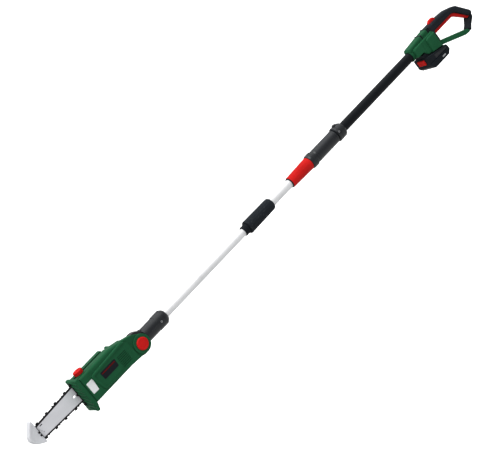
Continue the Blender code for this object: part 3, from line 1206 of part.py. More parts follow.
def make_battery_case_lower():
    half = BATTERY_HALF_WIDTH
    case = plate("battery_case_lower", [handle_outline(*CASE_LOWER)], -half, half)
    round_rim(case, half, 3 * MM)
    round_rim(case, -half, 3 * MM)
    beds = [rod("cell_bed", -CELL_HALF - 1.2 * MM, CELL_HALF + 1.2 * MM, CELL_R + 0.4 * MM,
                (x, 0, CELL_Z - 2 * MM), "Y", 24)
            for x in cell_places()]
    tray = box("lower_tray", (HANDLE_X - (BATTERY_REAR - 2.2) * MM, -half + WALL, CELL_Z - 5 * MM),
               (HANDLE_X - (BATTERY_FRONT + 2.2) * MM, half - WALL, -50 * MM))
    return dress(cut(case, tray, *beds), BLACK)


def make_cell_pack():
    """The cells side by side in their welded straps."""
    places = cell_places()
    cells = [rod("cell", -CELL_HALF, CELL_HALF, CELL_R, (x, 0, CELL_Z), "Y", 14) for x in places]
    pack = cells[0]
    pack.name = "cell_pack"
    straps = [box("strap", (places[0] - 4 * MM, y, CELL_Z - 3.5 * MM),
                  (places[-1] + 4 * MM, y + 1.5 * MM, CELL_Z + 3.5 * MM))
              for y in (-CELL_HALF - 0.7 * MM, CELL_HALF - 0.8 * MM)]
    return dress(join(pack, *cells[1:], *straps), CELL_BLUE)


def make_battery_latch():
    low, high = BATTERY_FRONT + 3.5, BATTERY_FRONT - 4.5
    corners = [(low, -49.5), (low, -36.5), (high + 1, -37, 1.5), (high - 0.5, -46, 1.5),
               (high + 0.5, -49.5, 1)]
    half = LATCH_HALF_WIDTH
    latch = plate("battery_latch", [handle_outline(*corners)], -half, half)
    return dress(latch, RED, (HANDLE_X - BATTERY_FRONT * MM, 0, -43 * MM))


def make_terminal_block():
    """The contacts in the handle that the battery's slots slide onto."""
    low, high = HANDLE_X - 88.5 * MM, HANDLE_X - 76 * MM
    block = box("terminal_block", (low, -20 * MM, -33 * MM), (high, 20 * MM, -18.5 * MM))
    blades = [box("blade", (low + MM, y - 0.5 * MM, -29.5 * MM), (high + 8 * MM, y + 0.5 * MM, -24.5 * MM))
              for y in CONTACTS_Y]
    return dress(join(block, *blades), BLACK, smooth=False)


# The whole saw

HEAD = joint_empty("head_pivot", (PIVOT_X, 0, 0))

for make in (
    make_handle_tube, make_fore_grip, make_rear_collar, make_pole_socket, make_coupling_nut,
    make_outer_tube, make_lock_body, make_collet, make_lock_collar, make_twist_sleeve,
    make_inner_tube, make_tube_stop, make_pole_adapter,
    make_head_shell_left, make_head_shell_right, make_sprocket_cover, make_bumper, make_bumper_spikes,
    make_motor_cover, make_label_plate, make_oil_tank, make_oil_cap,
    make_motor_can, make_rotor, make_crown_gear, make_spindle, make_sprocket, make_gear_case,
    make_gear_case_lid, make_oil_pump, make_guide_bar, make_nose_sprocket, make_chain, make_nose_guard,
    make_bar_stud, make_clamp_knob, make_pivot_pin, make_pivot_spring, make_pivot_button,
    make_rear_grip_left, make_trigger, make_lock_off_button, make_switch_block, make_control_board,
    make_battery_case_upper, make_battery_case_lower, make_cell_pack, make_battery_latch, make_terminal_block,
):
    make()

make_handle_shell_right(make_handle_shell_left())
dress(mirrored(bpy.data.objects["rear_grip_left"], "rear_grip_right"), SOFT)
make_bearing("spindle_bearing_right", CASE_BACK_Y)
make_bearing("spindle_bearing_left", CASE_MOUTH_Y + GAP)
for label, (x, z) in zip(("upper", "lower"), NOSE_SCREWS):
    make_guard_screw("guard_screw_" + label, x, z)
for label, (x, z) in zip(("top", "bottom"), HEAD_SCREWS):
    make_screw("head_screw_" + label, PIVOT_X + x, z, SHELL_RIGHT_Y, 20 * MM, HEAD)
for label, ((x, z), depth) in zip(("front", "rear"), handle_posts()):
    make_screw("handle_screw_" + label, HANDLE_X - x, z, -depth, depth + 6 * MM)
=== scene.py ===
"""Telescoping cordless pole saw: the fine surface of every piece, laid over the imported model.

+X runs along the pole to the saw head, +Z is up and +Y is the saw's left side. Sizes are in metres.
"""

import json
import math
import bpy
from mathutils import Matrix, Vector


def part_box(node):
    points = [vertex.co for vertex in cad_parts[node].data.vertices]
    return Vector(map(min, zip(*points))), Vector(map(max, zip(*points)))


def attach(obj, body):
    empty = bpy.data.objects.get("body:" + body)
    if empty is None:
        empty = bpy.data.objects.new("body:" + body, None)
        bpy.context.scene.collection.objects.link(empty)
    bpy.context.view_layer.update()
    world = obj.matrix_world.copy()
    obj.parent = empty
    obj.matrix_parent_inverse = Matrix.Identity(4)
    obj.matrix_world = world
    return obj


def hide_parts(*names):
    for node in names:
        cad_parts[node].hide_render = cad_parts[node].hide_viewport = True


bl_info = {
    "name": "Pole Saw Builder",
    "version": (1, 0, 0),
    "blender": (4, 5, 0),
    "location": "3D View > Sidebar > Pole Saw",
    "description": "Builds a telescoping pole saw piece by piece",
    "category": "Add Mesh",
}

import bmesh
import bpy
from bpy.props import FloatProperty, FloatVectorProperty, IntProperty, PointerProperty
from bpy.types import Operator, Panel, PropertyGroup
from mathutils import Matrix, Vector

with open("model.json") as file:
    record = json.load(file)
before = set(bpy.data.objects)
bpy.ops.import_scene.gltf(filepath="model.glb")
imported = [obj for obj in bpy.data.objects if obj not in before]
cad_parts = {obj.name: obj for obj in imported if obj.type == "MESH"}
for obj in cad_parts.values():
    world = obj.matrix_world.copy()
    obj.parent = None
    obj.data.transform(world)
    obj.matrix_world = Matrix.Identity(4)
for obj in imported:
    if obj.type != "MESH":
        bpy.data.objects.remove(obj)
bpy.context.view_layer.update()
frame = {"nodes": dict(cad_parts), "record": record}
MM = 0.001
GAP = 0.3 * MM
LEAST_RADIUS = 0.05 * MM
GUARD_REAR = 3.5 * MM  # nose sprocket to the guard's flat back


# Stations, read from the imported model


def middle(node):
    low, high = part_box(node)
    return (low + high) / 2


PIVOT_X = middle("pivot_pin").x
HANDLE_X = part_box("handle_tube")[0].x + 40 * MM
SPINDLE_X = middle("spindle").x
STUD_X = middle("bar_stud").x
BAR_Y, BAR_Z = middle("guide_bar").y, middle("bar_stud").z
NOSE_X = middle("nose_sprocket").x
BUMPER_FRONT_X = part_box("bumper_spikes")[0].x - GAP


# Outlines


def rounded(corners, steps=6):
    """An outline from (u, v, radius) corners, each turned into an arc that its sides have room for."""
    outline, count = [], len(corners)
    for i, corner in enumerate(corners):
        here = Vector(corner[:2])
        to_last = Vector(corners[i - 1][:2]) - here
        to_next = Vector(corners[(i + 1) % count][:2]) - here
        half = to_last.angle(to_next) / 2
        if half > math.radians(89.5):
            outline.append(here)
            continue
        radius = max(corner[2] if len(corner) > 2 else 0, LEAST_RADIUS)
        reach = min(radius / math.tan(half), 0.48 * to_last.length, 0.48 * to_next.length)
        radius = reach * math.tan(half)
        last, after = to_last.normalized(), to_next.normalized()
        centre = here + (last + after).normalized() * (radius / math.sin(half))
        start = here + last * reach - centre
        sweep = start.angle_signed(here + after * reach - centre)
        outline += [centre + Matrix.Rotation(-sweep * k / steps, 2) @ start for k in range(steps + 1)]
    return outline


def drawn_in(corners, depth):
    """The corners moved inwards by a depth, with their radii eased to match."""
    points = [Vector(corner[:2]) for corner in corners]
    area = sum(a.cross(b) for a, b in zip(points, points[1:] + points[:1]))
    side = 1 if area > 0 else -1
    moved = []
    for i, here in enumerate(points):
        first = (here - points[i - 1]).normalized()
        second = (points[(i + 1) % len(points)] - here).normalized()
        normals = Vector((-first.y, first.x)) * side, Vector((-second.y, second.x)) * side
        share = max(1 + normals[0].dot(normals[1]), 0.35)
        radius = corners[i][2] if len(corners[i]) > 2 else 0
        radius = radius - depth if first.cross(second) * side > 0 else radius + depth
        moved.append((*(here + (normals[0] + normals[1]) * (depth / share)), radius))
    return moved


def from_pivot(*corners):
    """Corners given in millimetres, forward of the tilt pivot and above it."""
    return [(PIVOT_X + c[0] * MM, c[1] * MM, (c[2] if len(c) > 2 else 0) * MM) for c in corners]


def from_handle(*corners):
    """Corners given in millimetres, back from the handle's front and above the pole's axis."""
    return [(HANDLE_X - c[0] * MM, c[1] * MM, (c[2] if len(c) > 2 else 0) * MM) for c in corners]


def oblong(low_u, high_u, low_v, high_v, radius=0.0):
    return [(low_u, low_v, radius), (high_u, low_v, radius), (high_u, high_v, radius),
            (low_u, high_v, radius)]


# Mesh tools

AXES = {
    "X": Matrix(((0, 0, 1, 0), (1, 0, 0, 0), (0, 1, 0, 0), (0, 0, 0, 1))),
    "Y": Matrix(((1, 0, 0, 0), (0, 0, 1, 0), (0, 1, 0, 0), (0, 0, 0, 1))),
    "Z": Matrix.Identity(4),
}


def new_piece(name, shape):
    bmesh.ops.remove_doubles(shape, verts=shape.verts, dist=1e-7)
    bmesh.ops.recalc_face_normals(shape, faces=shape.faces)
    if shape.calc_volume(signed=True) < 0:
        bmesh.ops.reverse_faces(shape, faces=shape.faces)
    mesh = bpy.data.meshes.new(name)
    shape.to_mesh(mesh)
    shape.free()
    piece = bpy.data.objects.new(name, mesh)
    bpy.context.scene.collection.objects.link(piece)
    return piece


def loft(name, rings, closed=False):
    """A solid through rings of as many points each. A closed one joins its last ring to its first."""
    shape = bmesh.new()
    rows = [[shape.verts.new(point) for point in ring] for ring in rings]
    pairs = list(zip(rows, rows[1:])) + ([(rows[-1], rows[0])] if closed else [])
    for first, second in pairs:
        for i in range(len(first)):
            j = (i + 1) % len(first)
            shape.faces.new((first[i], first[j], second[j], second[i]))
    if not closed:
        shape.faces.new(rows[0][::-1])
        shape.faces.new(rows[-1])
    return new_piece(name, shape)


def quarter(edge, steps):
    """The rise and the inset along a quarter round of an edge radius."""
    if not edge:
        return [(0.0, 0.0)]
    turns = [math.pi / 2 * k / steps for k in range(steps + 1)]
    return [(edge * (1 - math.cos(a)), edge * (1 - math.sin(a))) for a in turns]


def slab(name, corners, low, high, low_edge=0.0, high_edge=0.0, axis="Y", steps=5):
    """A flat solid between two levels on an axis, its rims rounded by their edge radii."""
    layers = [(low + rise, depth) for rise, depth in quarter(low_edge, steps)]
    layers += [(high - rise, depth) for rise, depth in reversed(quarter(high_edge, steps))]
    rings = []
    for level, depth in layers:
        outline = rounded(drawn_in(corners, depth) if depth else corners)
        rings.append([AXES[axis] @ Vector((p.x, p.y, level)) for p in outline])
    return loft(name, rings)


def lathe(name, profile, centre=(0, 0, 0), axis="X", steps=72, ease=3):
    """A solid of revolution from a closed (along, radius, fillet) profile."""
    path = rounded(profile, ease)
    for point in path:
        point.y = 0.0 if point.y < 2 * LEAST_RADIUS else point.y
    shape = bmesh.new()
    rows = []
    for k in range(steps):
        turn = 2 * math.pi * k / steps
        rows.append([shape.verts.new((p.y * math.cos(turn), p.y * math.sin(turn), p.x)) for p in path])
    for k in range(steps):
        first, second = rows[k], rows[(k + 1) % steps]
        for i in range(len(path)):
            j = (i + 1) % len(path)
            if path[i].y == 0 and path[j].y == 0:
                continue
            corners = [first[i], first[j], second[j], second[i]]
            if path[i].y == 0:
                corners.pop()
            elif path[j].y == 0:
                corners.pop(2)
            shape.faces.new(corners)
    shape.transform(Matrix.Translation(centre) @ AXES[axis])
    return new_piece(name, shape)


def rod(name, low, high, radius, centre=(0, 0, 0), axis="X", edge=0.0, bore=0.0, steps=40):
    profile = [(low, bore), (high, bore), (high, radius, edge), (low, radius, edge)]
    return lathe(name, profile, centre, axis, steps)


def fluted(name, outer, inner, flutes, centre=(0, 0, 0), axis="X", sharpness=3, points=10):
    """A sleeve from (along, radius, flute depth) stations outside and (along, radius) stations inside."""
    count = flutes * points
    turns = [2 * math.pi * k / count for k in range(count)]
    rings = []
    for along, radius, depth in [*outer, *[(a, r, 0.0) for a, r in inner]]:
        ring = []
        for turn in turns:
            reach = radius - depth * (0.5 + 0.5 * math.cos(flutes * turn)) ** sharpness
            place = AXES[axis] @ Vector((reach * math.cos(turn), reach * math.sin(turn), along))
            ring.append(place + Vector(centre))
        rings.append(ring)
    return loft(name, rings, closed=True)


def block(name, low, high, edge=0.0, steps=3):
    shape = bmesh.new()
    bmesh.ops.create_cube(shape, size=1.0)
    size, centre = Vector(high) - Vector(low), (Vector(high) + Vector(low)) / 2
    shape.transform(Matrix.Translation(centre) @ Matrix.Diagonal((*size, 1.0)))
    if edge:
        bmesh.ops.bevel(
            shape, geom=shape.edges[:], offset=edge, segments=steps, profile=0.5, affect="EDGES", clamp_overlap=True
        )
    return new_piece(name, shape)


def applied(piece):
    """The piece with its modifiers made part of its mesh."""
    graph = bpy.context.evaluated_depsgraph_get()
    mesh = bpy.data.meshes.new_from_object(piece.evaluated_get(graph))
    piece.modifiers.clear()
    piece.data = mesh
    return piece


def boolean(piece, others, operation):
    for other in others:
        step = piece.modifiers.new(operation.title(), "BOOLEAN")
        step.operation = operation
        step.object = other
        applied(piece)
        bpy.data.objects.remove(other)
    return piece


def carve(piece, *cutters):
    return boolean(piece, cutters, "DIFFERENCE")


def fuse(piece, *others):
    return boolean(piece, others, "UNION")


def soften(piece, width, angle=40, steps=2):
    """Rounds the edges that are sharper than an angle."""
    edge = piece.modifiers.new("Rounded edges", "BEVEL")
    edge.width = width
    edge.segments = steps
    edge.limit_method = "ANGLE"
    edge.angle_limit = math.radians(angle)
    return applied(piece)


def mirrored(piece, name):
    """A copy on the other side of the mid plane."""
    shape = bmesh.new()
    shape.from_mesh(piece.data)
    shape.transform(Matrix.Diagonal((1, -1, 1, 1)))
    return new_piece(name, shape)


def dress(piece, slot, body, *nodes, sharp=32):
    """Shades a made piece, gives it its material and its body, and hides the nodes that it stands for."""
    shape = bmesh.new()
    shape.from_mesh(piece.data)
    bmesh.ops.remove_doubles(shape, verts=shape.verts, dist=2e-6)
    bmesh.ops.dissolve_degenerate(shape, edges=shape.edges, dist=1e-6)
    shape.to_mesh(piece.data)
    shape.free()
    piece.data.materials.clear()
    piece.data.materials.append(bpy.data.materials[slot])
    piece.data.polygons.foreach_set("material_index", [0] * len(piece.data.polygons))
    piece.data.shade_smooth()
    piece.data.set_sharp_from_angle(angle=math.radians(sharp))
    even = piece.modifiers.new("Even normals", "WEIGHTED_NORMAL")
    even.keep_sharp = True
    applied(piece)
    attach(piece, body)
    if nodes:
        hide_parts(*nodes)
    return piece


# Repeats, made with Geometry Nodes


def new_tree(name, inputs):
    tree = bpy.data.node_groups.new(name, "GeometryNodeTree")
    tree.interface.new_socket(name="Geometry", in_out="OUTPUT", socket_type="NodeSocketGeometry")
    for title, kind in inputs:
        tree.interface.new_socket(name=title, in_out="INPUT", socket_type="NodeSocket" + kind)
    return tree


def link_sockets(tree, *pairs):
    for source, target in pairs:
        tree.links.new(source, target)


def row_tree():
    """Copies of a unit, each moved and turned one step further than the last, about a centre."""
    kinds = (("Unit", "Object"), ("Count", "Int"), ("Step", "Vector"), ("Turn", "Vector"),
             ("Centre", "Vector"))
    tree = new_tree("Row of units", (*kinds, ("Finish", "Material")))
    make = tree.nodes.new
    given, result = make("NodeGroupInput"), make("NodeGroupOutput")
    line, index, turn = make("GeometryNodeMeshLine"), make("GeometryNodeInputIndex"), make("ShaderNodeVectorMath")
    unit, place = make("GeometryNodeObjectInfo"), make("GeometryNodeInstanceOnPoints")
    move, real = make("GeometryNodeTransform"), make("GeometryNodeRealizeInstances")
    finish = make("GeometryNodeSetMaterial")
    turn.operation = "SCALE"
    link_sockets(
        tree,
        (given.outputs["Count"], line.inputs["Count"]),
        (given.outputs["Step"], line.inputs["Offset"]),
        (given.outputs["Turn"], turn.inputs[0]),
        (index.outputs[0], turn.inputs["Scale"]),
        (given.outputs["Unit"], unit.inputs["Object"]),
        (line.outputs[0], place.inputs["Points"]),
        (unit.outputs["Geometry"], place.inputs["Instance"]),
        (turn.outputs[0], place.inputs["Rotation"]),
        (place.outputs[0], move.inputs["Geometry"]),
        (given.outputs["Centre"], move.inputs["Translation"]),
        (move.outputs[0], real.inputs[0]),
        (real.outputs[0], finish.inputs["Geometry"]),
        (given.outputs["Finish"], finish.inputs["Material"]),
        (finish.outputs[0], result.inputs[0]),
    )
    return tree


def chain_tree():
    """Links on a closed path: of every few places, the ones at an offset, each turned along the path."""
    kinds = (("Path", "Object"), ("Unit", "Object"), ("Places", "Int"), ("Every", "Int"), ("Offset", "Int"))
    tree = new_tree("Links on a path", (*kinds, ("Finish", "Material")))
    make = tree.nodes.new
    given, result = make("NodeGroupInput"), make("NodeGroupOutput")
    path, points = make("GeometryNodeObjectInfo"), make("GeometryNodeCurveToPoints")
    align = make("FunctionNodeAlignRotationToVector")
    unit, place = make("GeometryNodeObjectInfo"), make("GeometryNodeInstanceOnPoints")
    index, count, same = make("GeometryNodeInputIndex"), make("ShaderNodeMath"), make("FunctionNodeCompare")
    real, finish = make("GeometryNodeRealizeInstances"), make("GeometryNodeSetMaterial")
    points.mode = "COUNT"
    align.axis, align.pivot_axis = "X", "Y"
    count.operation = "MODULO"
    same.data_type, same.operation = "INT", "EQUAL"
    link_sockets(
        tree,
        (given.outputs["Path"], path.inputs["Object"]),
        (path.outputs["Geometry"], points.inputs[0]),
        (given.outputs["Places"], points.inputs["Count"]),
        (points.outputs["Tangent"], align.inputs["Vector"]),
        (given.outputs["Unit"], unit.inputs["Object"]),
        (points.outputs["Points"], place.inputs["Points"]),
        (unit.outputs["Geometry"], place.inputs["Instance"]),
        (align.outputs[0], place.inputs["Rotation"]),
        (index.outputs[0], count.inputs[0]),
        (given.outputs["Every"], count.inputs[1]),
        (count.outputs[0], same.inputs[2]),
        (given.outputs["Offset"], same.inputs[3]),
        (same.outputs[0], place.inputs["Selection"]),
        (place.outputs[0], real.inputs[0]),
        (real.outputs[0], finish.inputs["Geometry"]),
        (given.outputs["Finish"], finish.inputs["Material"]),
        (finish.outputs[0], result.inputs[0]),
    )
    return tree


def grown(name, build_tree, slot, **values):
    """A plain mesh from a Geometry Nodes tree and its named inputs."""
    tree = build_tree()
    host = bpy.data.objects.new(name, bpy.data.meshes.new(name))
    bpy.context.scene.collection.objects.link(host)
    step = host.modifiers.new("Repeat", "NODES")
    step.node_group = tree
    values["Finish"] = bpy.data.materials[slot]
    for socket in tree.interface.items_tree:
        if socket.in_out == "INPUT":
            step[socket.identifier] = values[socket.name]
    host.update_tag()
    bpy.context.view_layer.update()
    applied(host)
    bpy.data.node_groups.remove(tree)
    return host


def row(name, unit, count, step=(0, 0, 0), turn=(0, 0, 0), centre=(0, 0, 0), slot="black_plastic"):
    """A row or a ring of one unit as one mesh. The unit is used up."""
    made = grown(name, row_tree, slot, Unit=unit, Count=count, Step=step, Turn=turn, Centre=centre)
    bpy.data.objects.remove(unit)
    return made


# Materials


class Shading:
    """The node tree of one material. A slot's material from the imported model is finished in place."""

    def __init__(self, name, colour, roughness, metallic=0.0):
        self.material = bpy.data.materials.get(name) or bpy.data.materials.new(name)
        self.material.use_nodes = True
        self.tree = self.material.node_tree
        self.shader = self.tree.nodes["Principled BSDF"]
        self.shader.inputs["Base Color"].default_value = (*colour, 1.0)
        self.shader.inputs["Roughness"].default_value = roughness
        self.shader.inputs["Metallic"].default_value = metallic
        self.material.diffuse_color = (*colour, 1.0)
        self.colour, self.roughness = Vector(colour), roughness
        self.place = self.tree.nodes.new("ShaderNodeTexCoord").outputs["Object"]

    def noise(self, scale, detail=3.0, stretch=(1, 1, 1), distortion=0.0):
        """Noise of a scale, in features to the metre, drawn out along an axis by its stretch."""
        mapping = self.tree.nodes.new("ShaderNodeMapping")
        mapping.inputs["Scale"].default_value = stretch
        texture = self.tree.nodes.new("ShaderNodeTexNoise")
        texture.inputs["Scale"].default_value = scale
        texture.inputs["Detail"].default_value = detail
        texture.inputs["Distortion"].default_value = distortion
        self.tree.links.new(self.place, mapping.inputs["Vector"])
        self.tree.links.new(mapping.outputs[0], texture.inputs["Vector"])
        return texture.outputs["Fac"]

    def cells(self, scale):
        texture = self.tree.nodes.new("ShaderNodeTexVoronoi")
        texture.inputs["Scale"].default_value = scale
        self.tree.links.new(self.place, texture.inputs["Vector"])
        return texture.outputs["Distance"]

    def spread(self, source, low, high, to_low=0.0, to_high=1.0):
        node = self.tree.nodes.new("ShaderNodeMapRange")
        for socket, value in zip(node.inputs[1:5], (low, high, to_low, to_high)):
            socket.default_value = value
        self.tree.links.new(source, node.inputs[0])
        return node.outputs[0]

    def tint(self, source, other, low=0.35, high=0.65):
        """Blends the base colour towards another one where the source is high."""
        mix = self.tree.nodes.new("ShaderNodeMix")
        mix.data_type = "RGBA"
        last = self.shader.inputs["Base Color"]
        if last.is_linked:
            self.tree.links.new(last.links[0].from_socket, mix.inputs[6])
        else:
            mix.inputs[6].default_value = (*self.colour, 1.0)
        mix.inputs[7].default_value = (*other, 1.0)
        self.tree.links.new(self.spread(source, low, high), mix.inputs[0])
        self.tree.links.new(mix.outputs[2], last)

    def gloss(self, source, swing):
        """Lets the roughness wander by a swing about its value."""
        wander = self.spread(source, 0.3, 0.7, self.roughness - swing, self.roughness + swing)
        self.tree.links.new(wander, self.shader.inputs["Roughness"])

    def bump(self, source, height):
        """Raises the surface by a height in metres where the source is high."""
        bump = self.tree.nodes.new("ShaderNodeBump")
        bump.inputs["Strength"].default_value = 1.0
        bump.inputs["Distance"].default_value = height
        last = self.shader.inputs["Normal"]
        if last.is_linked:
            self.tree.links.new(last.links[0].from_socket, bump.inputs["Normal"])
        self.tree.links.new(source, bump.inputs["Height"])
        self.tree.links.new(bump.outputs[0], last)

    def coat(self, weight, roughness):
        self.shader.inputs["Coat Weight"].default_value = weight
        self.shader.inputs["Coat Roughness"].default_value = roughness


def moulded(name, colour, roughness, stipple=0.012, dust=0.03, shine=0.05):
    """Moulded plastic: spark-eroded stipple, faint flow marks and a little dust in the grain."""
    made = Shading(name, colour, roughness)
    made.shader.inputs["Specular IOR Level"].default_value = shine
    broad, grain = made.noise(14, 4, (1, 1, 1), 0.4), made.noise(2400, 2)
    pale = made.colour.lerp(Vector((0.5, 0.5, 0.48)), 0.12 * dust)
    made.tint(broad, made.colour * 0.86, 0.42, 0.7)
    made.tint(made.noise(170, 6), pale, 0.56, 0.8)
    made.gloss(made.noise(60, 4), 0.05)
    made.bump(grain, stipple * MM)
    made.bump(made.noise(240, 2), 0.5 * stipple * MM)
    return made


def drawn_metal(name, colour, roughness, lines, along="X"):
    """Metal drawn or ground along an axis: fine lines, a few scratches and faint handling marks."""
    made = Shading(name, colour, roughness, 1.0)
    stretch = tuple(0.02 if axis == along else 1.0 for axis in "XYZ")
    fine = made.noise(2600, 3, stretch)
    made.tint(made.noise(30, 4), made.colour * 0.9, 0.45, 0.75)
    made.gloss(fine, 0.09)
    made.bump(fine, lines * MM)
    made.bump(made.noise(420, 1, stretch), 0.6 * lines * MM)
    return made


def painted(name, colour, roughness, peel=0.02):
    """Powder paint: orange-peel ripple under a thin clear layer."""
    made = Shading(name, colour, roughness)
    made.shader.inputs["Specular IOR Level"].default_value = 0.1
    made.tint(made.noise(18, 4), made.colour * 0.8, 0.45, 0.75)
    made.tint(made.noise(900, 2), made.colour.lerp(Vector((0.3, 0.3, 0.3)), 0.02), 0.6, 0.8)
    made.gloss(made.noise(45, 3), 0.04)
    made.bump(made.noise(650, 2), peel * MM)
    made.coat(0.03, 0.12)
    return made


def make_materials(colours):
    """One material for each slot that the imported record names, and a few for marks and fittings."""
    green, red, black = colours.green, colours.red, colours.black
    moulded("green_body", green, 0.34)
    moulded("red_plastic", red, 0.33)
    moulded("black_plastic", black, 0.38)
    moulded("guard_grey", colours.guard, 0.42, 0.01)
    soft = moulded("soft_black", Vector(black) * 1.25, 0.56, 0.02, 0.6)
    soft.bump(soft.cells(900), 0.03 * MM)
    soft.shader.inputs["Sheen Weight"].default_value = 0.04
    soft.shader.inputs["Sheen Roughness"].default_value = 0.4
    gloss = moulded("gloss_black", Vector(black) * 0.8, 0.2, 0.004, 0.2, 0.4)
    gloss.coat(0.2, 0.08)
    painted("black_painted_tube", Vector(black) * 0.6, 0.3)
    tube = drawn_metal("aluminium_tube", colours.aluminium, 0.42, 0.004)
    tube.shader.inputs["Metallic"].default_value = 0.2
    tube.coat(0.1, 0.2)
    cast = Shading("cast_housing", (0.42, 0.43, 0.44), 0.5, 1.0)
    cast.gloss(cast.noise(80, 4), 0.08)
    cast.bump(cast.noise(1300, 4), 0.05 * MM)
    drawn_metal("machine_steel", (0.5, 0.5, 0.51), 0.3, 0.006, "Y")
    chain = Shading("chain_black", (0.035, 0.035, 0.038), 0.42, 0.7)
    chain.tint(chain.noise(320, 4), (0.11, 0.105, 0.1), 0.55, 0.75)
    chain.gloss(chain.noise(150, 3), 0.12)
    chain.bump(chain.noise(1800, 2), 0.015 * MM)
    bar = Shading("bar_grey", colours.bar, 0.4)
    bar.tint(bar.noise(9, 5, (1, 1, 1), 0.6), Vector(colours.bar) * 0.9, 0.4, 0.75)
    bar.tint(bar.noise(700, 3, (0.05, 1, 1.3)), Vector(colours.bar) * 0.78, 0.62, 0.82)
    bar.gloss(bar.noise(500, 3, (0.04, 1, 1)), 0.08)
    bar.bump(bar.noise(1500, 2, (0.05, 1, 1)), 0.006 * MM)
    tank = moulded("tank_white", (0.8, 0.81, 0.82), 0.36, 0.008, 0.1)
    tank.shader.inputs["Subsurface Weight"].default_value = 0.25
    tank.shader.inputs["Subsurface Radius"].default_value = (0.004, 0.004, 0.004)
    board = Shading("circuit_board", (0.01, 0.11, 0.045), 0.45)
    board.tint(board.cells(450), (0.02, 0.2, 0.08), 0.1, 0.5)
    board.bump(board.noise(500, 2), 0.03 * MM)
    wrap = Shading("cell_wrap", (0.015, 0.1, 0.3), 0.35)
    wrap.tint(wrap.noise(60, 3), (0.01, 0.07, 0.22), 0.4, 0.7)
    wrap.bump(wrap.noise(300, 2), 0.03 * MM)
    moulded("mark_pale", (0.4, 0.41, 0.42), 0.4, 0.004)
    moulded("mark_red", Vector(red) * 0.3, 0.35, 0.004)
    drawn_metal("fitting_zinc", (0.45, 0.46, 0.47), 0.32, 0.004)


# Sizes and colours that a user may change


def colour_property(name, description, default):
    return FloatVectorProperty(
        name=name, description=description, default=default, subtype="COLOR", size=3, min=0.0, max=1.0
    )


class SawColours(PropertyGroup):
    """The colours of the saw's finishes, in linear light."""

    green: colour_property("Green", "Moulded green of the head and the handle", (0.022, 0.118, 0.055))
    red: colour_property("Red", "Nut, buttons, trigger and oil cap", (0.58, 0.022, 0.02))
    black: colour_property("Black", "Grips, collars, battery and pole paint", (0.02, 0.024, 0.029))
    aluminium: colour_property("Aluminium", "Bare tubes of the pole", (0.76, 0.765, 0.775))
    bar: colour_property("Bar", "Painted guide bar", (0.7, 0.705, 0.735))
    guard: colour_property("Guard", "Nose guard", (0.68, 0.69, 0.715))


class SawSizes(PropertyGroup):
    """Sizes and counts of the saw's fine detail."""

    soft_edge: FloatProperty(
        name="Soft edge", description="Radius of small moulded edges", default=1.0 * MM, min=0.1 * MM, unit="LENGTH"
    )
    sleeve_flutes: IntProperty(name="Sleeve flutes", description="Grooves round the twist sleeve",
                               default=18, min=3)
    nut_flutes: IntProperty(name="Nut flutes", description="Shallow grooves round the coupling nut",
                            default=12, min=3)
    collar_ribs: IntProperty(name="Collar ribs", description="Ribs round the socket collar", default=28,
                             min=3)
    cap_notches: IntProperty(name="Cap notches", description="Finger notches round the oil cap", default=20,
                             min=3)
    vent_slots: IntProperty(name="Vent slots", description="Cooling slots in the motor panel", default=7,
                            min=1)
    vent_height: FloatProperty(
        name="Vent height", description="Height of one cooling slot", default=1.6 * MM, min=0.2 * MM, unit="LENGTH"
    )
    bumper_ribs: IntProperty(name="Bumper ribs", description="Slanted ribs on the front bumper", default=8,
                             min=1)
    chain_places: IntProperty(name="Chain links", description="Link places round the chain", default=64,
                              min=12)


# Pieces of the pole


def tube_ends(node, wall, edge=0.3):
    """A tube's closed profile, from the box of its node."""
    low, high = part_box(node)
    radius = high.z
    return [
        (low.x, radius - wall, edge * MM),
        (high.x, radius - wall, edge * MM),
        (high.x, radius, edge * MM),
        (low.x, radius, edge * MM),
    ]


